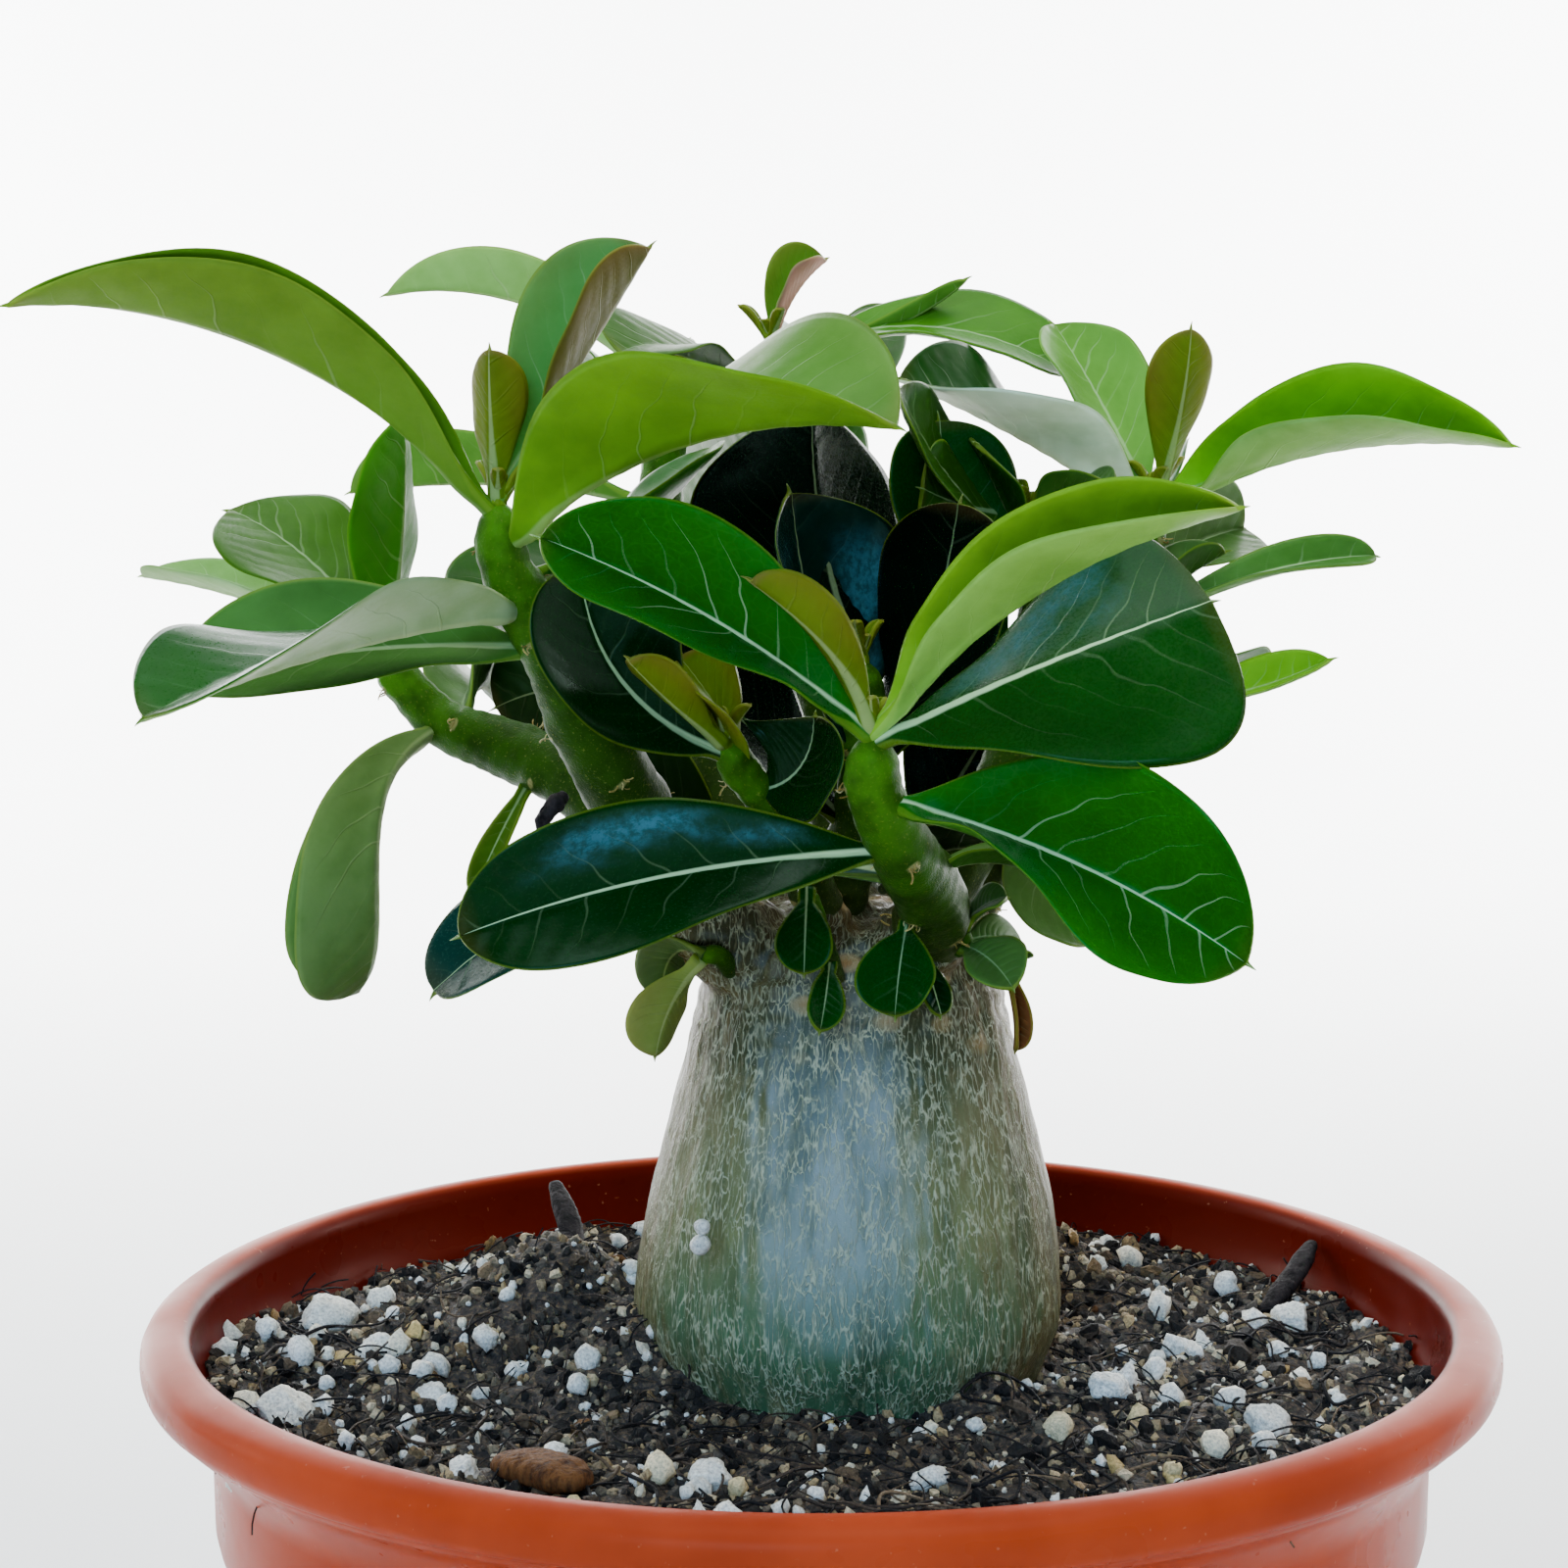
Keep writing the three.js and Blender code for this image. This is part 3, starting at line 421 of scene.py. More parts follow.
def makeMixBed(material):
    turns, rings = mix["turns"], mix["rings"]
    angle = np.linspace(0, 2 * math.pi, turns, endpoint=False)
    rows = []
    for i in range(rings):
        r = mix["edge"] * ((i + 1) / rings) ** 0.8
        rows.append(np.stack([r * np.cos(angle), r * np.sin(angle), np.zeros(turns)], 1))
    top = np.vstack(rows)
    top[:, 2] = mixHeight(top[:, 0], top[:, 1])
    top[:, 2] += 0.55 * softNoise(top, 2.6, 1) + 0.3 * softNoise(top, 1.1, 2)
    out = np.hypot(top[:, 0], top[:, 1])
    nearWall = smoothStep(out, *mix["wallBand"])
    top[:, 2] = top[:, 2] * (1 - nearWall) + np.clip(top[:, 2], *mix["wallLevels"]) * nearWall
    last = slice((rings - 1) * turns, rings * turns)
    reach = mix["wallReach"] + (top[last, 2] - mix["wallLevels"][0]) * 0.5
    top[last, 0], top[last, 1] = reach * np.cos(angle), reach * np.sin(angle)
    sides = [np.stack([r * np.cos(angle), r * np.sin(angle), np.full(turns, z)], 1)
             for r, z in ((68.0, 98.4), (67.8, 89.5), (65.0, 80.4), (52.1, 4.2), (50.6, mix["bottom"]))]
    points = np.vstack([top, *sides, [[0, 0, float(mixHeight(0, 0))], [0, 0, mix["bottom"]]]])
    total = rings + len(sides)
    faces = ringFaces(total, turns)[:, ::-1].tolist()
    for j in range(turns):
        after = (j + 1) % turns
        faces.append([total * turns, j, after])
        faces.append([total * turns + 1, (total - 1) * turns + after, (total - 1) * turns + j])
    x, y = points[:, 0], points[:, 1]
    fromTrunk = np.hypot(x - mix["trunkFoot"][0], y - mix["trunkFoot"][1])
    loose = smoothStep(fromTrunk, *mix["bareRing"]) * (points[:, 2] > mix["lowestLoose"])
    whitePatches = mound(x, y, -51, -1, 14) + 0.5 * mound(x, y, 45, -8, 16)
    clodPatch = mound(x, y, -31, 2, 17)
    piece = makeObject("mixBed", points, faces, [material], cover=loose,
                       whiteCover=loose * (0.4 + 2.6 * whitePatches),
                       clodCover=loose * (0.2 + 1.6 * clodPatch))
    return settle(piece, "potting_mix", "soil")


def grainShapes(tree, variants, roughness, squash, level):  # a few rough lumps to choose from
    shapes = put(tree, "GeometryNodeJoinGeometry")
    for k in range(variants):
        ball = put(tree, "GeometryNodeMeshIcoSphere", {"Radius": 0.5, "Subdivisions": level}).outputs["Mesh"]
        spot = put(tree, "GeometryNodeInputPosition").outputs[0]
        moved = vectorCalc(tree, "ADD", spot, (3.1 * k + 1, 1.7 * k, 5.3 * k))
        bumps = put(tree, "ShaderNodeTexNoise",
                    {"Vector": moved, "Scale": 1.9, "Detail": 1.5}).outputs["Color"]
        push = vectorCalc(tree, "SCALE", vectorCalc(tree, "SUBTRACT", bumps, (0.5, 0.5, 0.5)))
        push.node.inputs["Scale"].default_value = roughness
        lump = put(tree, "GeometryNodeSetPosition", {"Geometry": ball, "Offset": push}).outputs[0]
        lump = put(tree, "GeometryNodeTransform", {"Geometry": lump, "Scale": squash}).outputs[0]
        one = put(tree, "GeometryNodeGeometryToInstance", {"Geometry": lump}).outputs[0]
        tree.links.new(one, shapes.inputs[0])
    return shapes.outputs[0]


def fibreShapes(tree, variants, thickness, sides):  # curved hairs one unit long
    shapes = put(tree, "GeometryNodeJoinGeometry")
    for k in range(variants):
        bend = 0.34 * math.sin(2.1 * k + 0.6)
        middle = (0.1 * k - 0.2, 1.5 * bend, 0.16 + 0.05 * k)
        hair = put(tree, "GeometryNodeCurveQuadraticBezier", {
            "Resolution": 7, "Start": (-0.5, 0, 0), "Middle": middle, "End": (0.5, 0, 0.02)})
        ring = put(tree, "GeometryNodeCurvePrimitiveCircle", {"Resolution": sides, "Radius": thickness})
        tube = put(tree, "GeometryNodeCurveToMesh",
                   {0: hair.outputs[0], 1: ring.outputs[0], "Fill Caps": True})
        one = put(tree, "GeometryNodeGeometryToInstance", {"Geometry": tube.outputs[0]}).outputs[0]
        tree.links.new(one, shapes.inputs[0])
    return shapes.outputs[0]


def scatterTree(name, cover, makeShapes, turns=None):  # strews shapes over the surface where cover allows
    tree = bpy.data.node_groups.new(name, "GeometryNodeTree")
    tree.interface.new_socket(name="Surface", in_out="INPUT", socket_type="NodeSocketGeometry")
    for label, kind in (
        ("Per square metre", "NodeSocketFloat"), ("Smallest", "NodeSocketFloat"),
        ("Largest", "NodeSocketFloat"),
        ("Rarity of large", "NodeSocketFloat"), ("Lift", "NodeSocketFloat"), ("Seed", "NodeSocketInt"),
        ("Finish", "NodeSocketMaterial"),
    ):
        tree.interface.new_socket(name=label, in_out="INPUT", socket_type=kind)
    tree.interface.new_socket(name="Geometry", in_out="OUTPUT", socket_type="NodeSocketGeometry")
    given = tree.nodes.new("NodeGroupInput").outputs
    out = tree.nodes.new("NodeGroupOutput")
    allowed = put(tree, "GeometryNodeInputNamedAttribute", {"Name": cover}, data_type="FLOAT").outputs[0]
    density = calc(tree, "MULTIPLY", given["Per square metre"], allowed)
    spread = put(tree, "GeometryNodeDistributePointsOnFaces",
                 {"Mesh": given["Surface"], "Density": density, "Seed": given["Seed"]})
    draw = put(tree, "FunctionNodeRandomValue", {"Seed": given["Seed"]}, data_type="FLOAT").outputs[1]
    skewed = calc(tree, "POWER", draw, given["Rarity of large"])
    span = calc(tree, "SUBTRACT", given["Largest"], given["Smallest"])
    size = calc(tree, "ADD", given["Smallest"], calc(tree, "MULTIPLY", span, skewed))
    if turns:
        spin = put(tree, "FunctionNodeRandomValue", {0: turns[0], 1: turns[1]}, data_type="FLOAT_VECTOR")
        turned = put(tree, "FunctionNodeRotateEuler",
                     {"Rotation": spread.outputs["Rotation"], "Rotate By": spin.outputs[0]},
                     space="LOCAL").outputs[0]
    else:
        turned = put(tree, "FunctionNodeRandomValue", {0: (0, 0, 0), 1: (6.283, 6.283, 6.283)},
                     data_type="FLOAT_VECTOR").outputs[0]
    rise = vectorCalc(tree, "SCALE", spread.outputs["Normal"])
    tree.links.new(calc(tree, "MULTIPLY", size, given["Lift"]), rise.node.inputs["Scale"])
    points = put(tree, "GeometryNodeSetPosition",
                 {"Geometry": spread.outputs["Points"], "Offset": rise}).outputs[0]
    placed = put(tree, "GeometryNodeInstanceOnPoints", {
        "Points": points, "Instance": makeShapes(tree), "Pick Instance": True, "Rotation": turned,
        "Scale": size})
    tone = put(tree, "FunctionNodeRandomValue", {"Seed": 7}, data_type="FLOAT").outputs[1]
    toned = put(tree, "GeometryNodeStoreNamedAttribute",
                {"Geometry": placed.outputs[0], "Name": "tone", "Value": tone}, data_type="FLOAT",
                domain="INSTANCE")
    real = put(tree, "GeometryNodeRealizeInstances", {0: toned.outputs[0]}).outputs[0]
    done = put(tree, "GeometryNodeSetMaterial", {"Geometry": real, "Material": given["Finish"]}).outputs[0]
    tree.links.new(done, out.inputs[0])
    return tree


def strew(name, surface, tree, slotName, smooth, **settings):
    piece = bpy.data.objects.new(name, surface.data.copy())
    bpy.context.scene.collection.objects.link(piece)
    layer = piece.modifiers.new("strew", "NODES")
    layer.node_group = tree
    named = {item.name: item.identifier for item in tree.interface.items_tree if item.in_out == "INPUT"}
    for label, given in settings.items():
        layer[named[label.replace("_", " ")]] = given
    bakeModifiers(piece)
    piece.data.polygons.foreach_set("use_smooth", np.full(len(piece.data.polygons), smooth))
    print("  ", name, len(piece.data.polygons), "faces")
    return settle(piece, slotName)


def makeCrumbMaterial(name, stops, roughness=0.85):  # each crumb has its own tone
    material, tree, shader = newMaterial(name, Specular_IOR_Level=0.2)
    grain = placeGroup(tree, grainGroup, Fine_size=0.35, Broad_size=2.0).outputs
    colour = ramp(tree, value(tree, "tone"), stops)
    shades = ramp(tree, grain["Fine"], [(0.25, (0.45, 0.45, 0.45, 1)), (0.75, (1.5, 1.5, 1.5, 1))])
    colour = blend(tree, 1.0, colour, shades, "MULTIPLY")
    rough = fade(tree, grain["Broad"], 0.3, 0.7, roughness - 0.2, roughness)
    finishSurface(tree, shader, colour, rough, grain["Fine"], 0.0003, 0.8)
    return material


lyingFlat = ((0, 0, 0), (0.5, 0.5, 6.283))
standingUp = ((0, -1.5, 0), (0.3, -0.7, 6.283))
mixMaterial = makeMixMaterial()
bed = makeMixBed(mixMaterial)
crumbStops = [
    (0.0, paint(10, 9, 9)), (0.3, paint(36, 33, 30)), (0.5, paint(76, 69, 60)), (0.68, paint(124, 110, 88)),
    (0.82, paint(168, 144, 104)), (0.92, paint(206, 194, 168)), (1.0, paint(240, 238, 230)),
]
crumbMaterial = makeCrumbMaterial("mixCrumbs", crumbStops)
lumpStops = [
    (0.0, paint(12, 11, 11)), (0.5, paint(42, 37, 33)), (0.85, paint(88, 72, 54)), (1.0, paint(136, 112, 78)),
]
lumpMaterial = makeCrumbMaterial("mixLumps", lumpStops)
fibreStops = [
    (0.0, paint(10, 10, 14)), (0.6, paint(32, 27, 26)), (0.9, paint(66, 54, 44)), (1.0, paint(120, 100, 76)),
]
fibreMaterial = makeCrumbMaterial("mixFibres", fibreStops)
whiteStops = [
    (0.0, paint(214, 212, 202)), (0.7, paint(236, 234, 226)), (0.88, paint(230, 216, 182)),
    (1.0, paint(196, 172, 116)),
]
whiteMaterial = makeCrumbMaterial("perliteWhite", whiteStops, 0.75)
tanStops = [(0.0, paint(96, 62, 34)), (0.5, paint(138, 104, 60)), (1.0, paint(196, 170, 110))]
tanMaterial = makeCrumbMaterial("tanBits", tanStops, 0.7)
crumbTree = scatterTree("strewCrumbs", "cover", lambda host: grainShapes(host, 5, 0.9, (1, 0.8, 0.7), 1))
strew("fineCrumbs", bed, crumbTree, "potting_mix", False, Per_square_metre=520000.0,
      Smallest=0.0007, Largest=0.0021, Rarity_of_large=2.0, Lift=0.12, Seed=3, Finish=crumbMaterial)
lumpTree = scatterTree("strewLumps", "cover", lambda host: grainShapes(host, 4, 1.0, (1.2, 0.75, 0.6), 2))
strew("coarseCrumbs", bed, lumpTree, "potting_mix", False, Per_square_metre=60000.0,
      Smallest=0.0012, Largest=0.003, Rarity_of_large=2.4, Lift=0.1, Seed=11, Finish=lumpMaterial)
clodTree = scatterTree("strewClods", "clodCover", lambda host: grainShapes(host, 4, 1.2, (1, 0.9, 0.8), 2))
strew("clods", bed, clodTree, "potting_mix", False, Per_square_metre=5000.0,
      Smallest=0.002, Largest=0.0042, Rarity_of_large=3.0, Lift=0.05, Seed=17, Finish=lumpMaterial)
fibreTree = scatterTree("strewFibres", "cover", lambda host: fibreShapes(host, 5, 0.016, 4), lyingFlat)
strew("fibres", bed, fibreTree, "potting_mix", True, Per_square_metre=76000.0,
      Smallest=0.002, Largest=0.009, Rarity_of_large=1.8, Lift=0.05, Seed=5, Finish=fibreMaterial)
whiteTree = scatterTree("strewWhite", "whiteCover", lambda host: grainShapes(host, 4, 0.8, (1, 0.85, 0.8), 2))
strew("whiteGrains", bed, whiteTree, "perlite", True, Per_square_metre=44000.0,
      Smallest=0.0005, Largest=0.004, Rarity_of_large=3.4, Lift=0.3, Seed=21, Finish=whiteMaterial)
tanTree = scatterTree("strewTan", "cover", lambda host: grainShapes(host, 4, 0.9, (1.2, 0.8, 0.5), 2))
strew("tanGrains", bed, tanTree, "bark_chip", True, Per_square_metre=3000.0,
      Smallest=0.001, Largest=0.003, Rarity_of_large=1.8, Lift=0.25, Seed=31, Finish=tanMaterial)
print("potting mix made")


# perlite lumps that lie where the solids do: x, y and width in millimetres
perliteLumps = dict(
    detail=4, flatten=(1, 0.86, 0.8), flatSides=14,
    lumps={
        "perlite_left_back": (-59, 13, 8.5), "perlite_left": (-51, 2, 5.5),
        "perlite_left_front": (-59, -20, 7),
        "perlite_left_inner": (-44, -12, 4.6), "perlite_front_left": (-38, -38, 4.6),
        "perlite_front": (-12, -40, 5.6), "perlite_front_edge": (-10, -52, 4.4),
        "perlite_front_right": (11, -40, 4.4), "perlite_right_inner": (32, -12, 5),
        "perlite_right_front": (49, -21, 6), "perlite_right": (42, 6, 4.8),
        "perlite_right_back": (57, 17, 5.4),
        "perlite_behind": (-20, 50, 5.6), "perlite_far": (22, 55, 5),
    },
)


def ballMesh(detail):
    shape = bmesh.new()
    bmesh.ops.create_icosphere(shape, subdivisions=detail, radius=1)
    points = np.array([v.co[:] for v in shape.verts])
    faces = [[v.index for v in f.verts] for f in shape.faces]
    shape.free()
    return points, faces


def makePerliteLumps():
    ball, faces = ballMesh(perliteLumps["detail"])
    flatSides = perliteLumps["flatSides"]
    parts, tones = [], []
    for k, (x, y, width) in enumerate(perliteLumps["lumps"].values()):
        # each chunk is broken along its flat sides
        sides = unit(np.random.default_rng(40 + k).normal(size=(flatSides, 3)))
        depths = np.random.default_rng(60 + k).uniform(0.68, 1.0, flatSides)
        broken = (depths[None, :] / np.maximum(ball @ sides.T, 0.05)).min(1)
        pits = np.abs(softNoise(ball, 0.3, 60 + k))
        hollows = 0.1 * np.clip(0.2 - pits, 0, 1) / 0.2
        swell = np.minimum(broken, 1.12) + 0.06 * softNoise(ball, 0.35, 50 + k) - hollows
        lump = ball * (swell * width * 0.49)[:, None] * perliteLumps["flatten"]
        turn = 1.9 * k
        spin = np.array([[math.cos(turn), -math.sin(turn), 0], [math.sin(turn), math.cos(turn), 0],
                         [0, 0, 1]])
        parts.append((lump @ spin.T + (x, y, float(mixHeight(x, y)) + 0.13 * width), faces))
        tones.append(np.full(len(ball), (0.37 * k) % 0.8))
    points, faces = joinMeshes(parts)
    piece = makeObject("perliteLumps", points, faces, [whiteMaterial], tone=np.concatenate(tones))
    return settle(piece, "perlite", *perliteLumps["lumps"])


# bark chip and twigs: crooked bars, each with its two ends, thickness and breadth
mixBits = {
    "barkChip": dict(node="bark_chip", slot="bark_chip", ends=[(-34, -36, 105), (-25, -45, 105.6)],
                     thick=3.4, broad=6.4),
    "twigLeft": dict(node="twig_left", slot="dark_twig", ends=[(-33.6, 46, 114.5), (-29.8, 31, 107)],
                     thick=2.2, broad=3),
    "twigRight": dict(node="twig_right", slot="dark_twig", ends=[(62, 34, 109.6), (54.4, 21.5, 104.6)],
                      thick=2, broad=2.8),
}


def makeBarkMaterial(name, dark, light):
    material, tree, shader = newMaterial(name, Specular_IOR_Level=0.1)
    streaks = speckle(tree, stretched(tree, (1, 1, 0.35)), 900.0, 5.0)
    grain = placeGroup(tree, grainGroup, Fine_size=0.4, Broad_size=3.0).outputs
    colour = ramp(tree, streaks, [(0.32, dark), (0.55, light), (0.72, dark)])
    colour = blend(tree, calc(tree, "MULTIPLY", grain["Broad"], 0.5), colour, dark)
    finishSurface(tree, shader, colour, fade(tree, grain["Fine"], 0.3, 0.7, 0.6, 0.9), streaks, 0.0006, 0.9)
    return material


def makeBit(name, bit, material):
    rows, size = 26, 20
    start, end = (np.array(point, float) for point in bit["ends"])
    along = end - start
    across = unit(np.array([-along[1], along[0], 0.0]))
    up = unit(np.cross(along, across))
    points = []
    for i in range(rows):
        t = i / (rows - 1)
        narrow = 0.62 + 0.38 * smoothStep(t, 0, 0.3) * smoothStep(1 - t, 0, 0.3)
        if i in (0, rows - 1):
            narrow *= 0.8
        centre = start + along * t + across * 0.5 * math.sin(math.pi * t)
        angle = np.linspace(0, 2 * math.pi, size, endpoint=False) + 0.6 * t
        wide = np.sign(np.cos(angle)) * np.abs(np.cos(angle)) ** 0.8 * bit["broad"] / 2
        tall = np.sign(np.sin(angle)) * np.abs(np.sin(angle)) ** 0.8 * bit["thick"] / 2
        points.append(centre + narrow * (wide[:, None] * across + tall[:, None] * up))
    points = np.vstack([*points, [start], [end]])
    rough = softNoise(points, 1.3, 70) * 0.28 + softNoise(points, 0.5, 71) * 0.1
    points = points + rough[:, None] * unit(points - (start + end) / 2)
    faces = ringFaces(rows, size).tolist()
    for j in range(size):
        after = (j + 1) % size
        faces.append([rows * size, after, j])
        faces.append([rows * size + 1, (rows - 1) * size + j, (rows - 1) * size + after])
    return settle(makeObject(name, points, faces, [material]), bit["slot"], bit["node"])


def makeStuckGrains():  # two white grains caught on the skin of the trunk
    ball, faces = ballMesh(3)
    parts = []
    for k, (x, y, z, width) in enumerate([(-13.3, -20.1, 124.0, 2.3), (-13.1, -19.9, 126.0, 1.8)]):
        swell = 1 + 0.14 * softNoise(ball, 0.8, 90 + k)
        parts.append((ball * (swell * width / 2)[:, None] + (x, y, z), faces))
    points, faces = joinMeshes(parts)
    piece = makeObject("stuckGrains", points, faces, [whiteMaterial], tone=np.full(len(points), 0.2))
    return settle(piece, "perlite")


makePerliteLumps()
makeStuckGrains()
barkMaterial = makeBarkMaterial("barkChipFinish", paint(52, 30, 18), paint(120, 78, 42))
twigMaterial = makeBarkMaterial("twigFinish", paint(12, 10, 10), paint(46, 40, 40))
for bitName, bit in mixBits.items():
    makeBit(bitName, bit, barkMaterial if bit["slot"] == "bark_chip" else twigMaterial)


# root hairs that curl over the mix: where each starts, how far it wanders and how thick it is
rootHairs = dict(
    seed=8, sides=5, farthest=64, nearest=25,
    places=[(-57, -8), (-50, -24), (-42, 4), (-20, -44), (-4, -48), (8, -46), (24, -38), (38, -27),
            (50, -8), (60, 4), (46, 14), (-30, -30), (-14, -33), (30, -22), (18, -32), (-62, 6),
            (64, 14), (-6, -56), (16, -54), (40, -44)],
    length=(14, 34), radius=(0.1, 0.26),
)


def tubeMesh(path, radii, sides, rows):  # points, faces, place along and angle round a smooth tube
    t = np.linspace(0, 1, rows)
    centre = curveThrough(path, t)
    along = unit(curveThrough(path, t + 1e-3) - curveThrough(path, t - 1e-3))
    across = unit(np.array([0, 1.0, 0]) - along * along[:, 1:2])
    up = np.cross(along, across)
    radius = np.interp(t * (len(radii) - 1), np.arange(len(radii)), radii)
    angle = np.linspace(0, 2 * math.pi, sides, endpoint=False)
    out = across[:, None] * np.cos(angle)[None, :, None] + up[:, None] * np.sin(angle)[None, :, None]
    points = centre[:, None] + out * radius[:, None, None]
    faces = ringFaces(rows, sides).tolist()
    last = (rows - 1) * sides
    for j in range(sides):
        after = (j + 1) % sides
        faces.append([rows * sides, after, j])
        faces.append([rows * sides + 1, last + j, last + after])
    ends = np.array([centre[0], centre[-1]])
    length = np.concatenate([[0], np.cumsum(np.linalg.norm(np.diff(centre, axis=0), axis=1))])
    return dict(points=points, out=out, ends=ends, faces=faces, length=length, angle=angle, radius=radius)


def makeRootHairs():
    draw = np.random.default_rng(rootHairs["seed"])
    farthest, nearest = rootHairs["farthest"], rootHairs["nearest"]
    foot = np.array(mix["trunkFoot"])
    parts, tones = [], []
    for x, y in rootHairs["places"] * 3:
        place = np.array([x, y], float) + draw.normal(0, 5, 2)
        heading = draw.uniform(0, 2 * math.pi)
        stretch = draw.uniform(*rootHairs["length"]) / 7
        route = []
        curl = draw.normal(0, 0.5)
        for _ in range(8):
            reach = float(np.hypot(*place))
            if reach > farthest:
                place = place * farthest / reach
            away = place - foot
            if np.hypot(*away) < nearest:
                place = foot + away * nearest / max(float(np.hypot(*away)), 1)
            route.append((*place, float(mixHeight(*place)) + draw.uniform(0.6, 2.0)))
            place = place + stretch * np.array([math.cos(heading), math.sin(heading)])
            curl = 0.5 * curl + draw.normal(0, 0.55)
            heading += curl
        thick = draw.uniform(*rootHairs["radius"])
        tube = tubeMesh(route, [thick, thick, 0.4 * thick], rootHairs["sides"], 34)
        points = np.vstack([tube["points"].reshape(-1, 3), tube["ends"]])
        parts.append((points, tube["faces"]))
        tones.append(np.full(len(points), draw.uniform(0, 1)))
    points, faces = joinMeshes(parts)
    piece = makeObject("rootHairs", points, faces, [fibreMaterial], tone=np.concatenate(tones))
    return settle(piece, "potting_mix")


makeRootHairs()
print("perlite, bark, twigs and root hairs made")


# shoots: each stem's path and radii, its leaves and side branches, in millimetres and degrees
def leaf(at, heading, rise, length, width, look, **turns):
    return dict(arch=40, swing=0, roll=0, twist=0, fold=35, curl=7, blunt=0.52) | turns | dict(
        at=at, heading=heading, rise=rise, length=length, width=width, look=look)


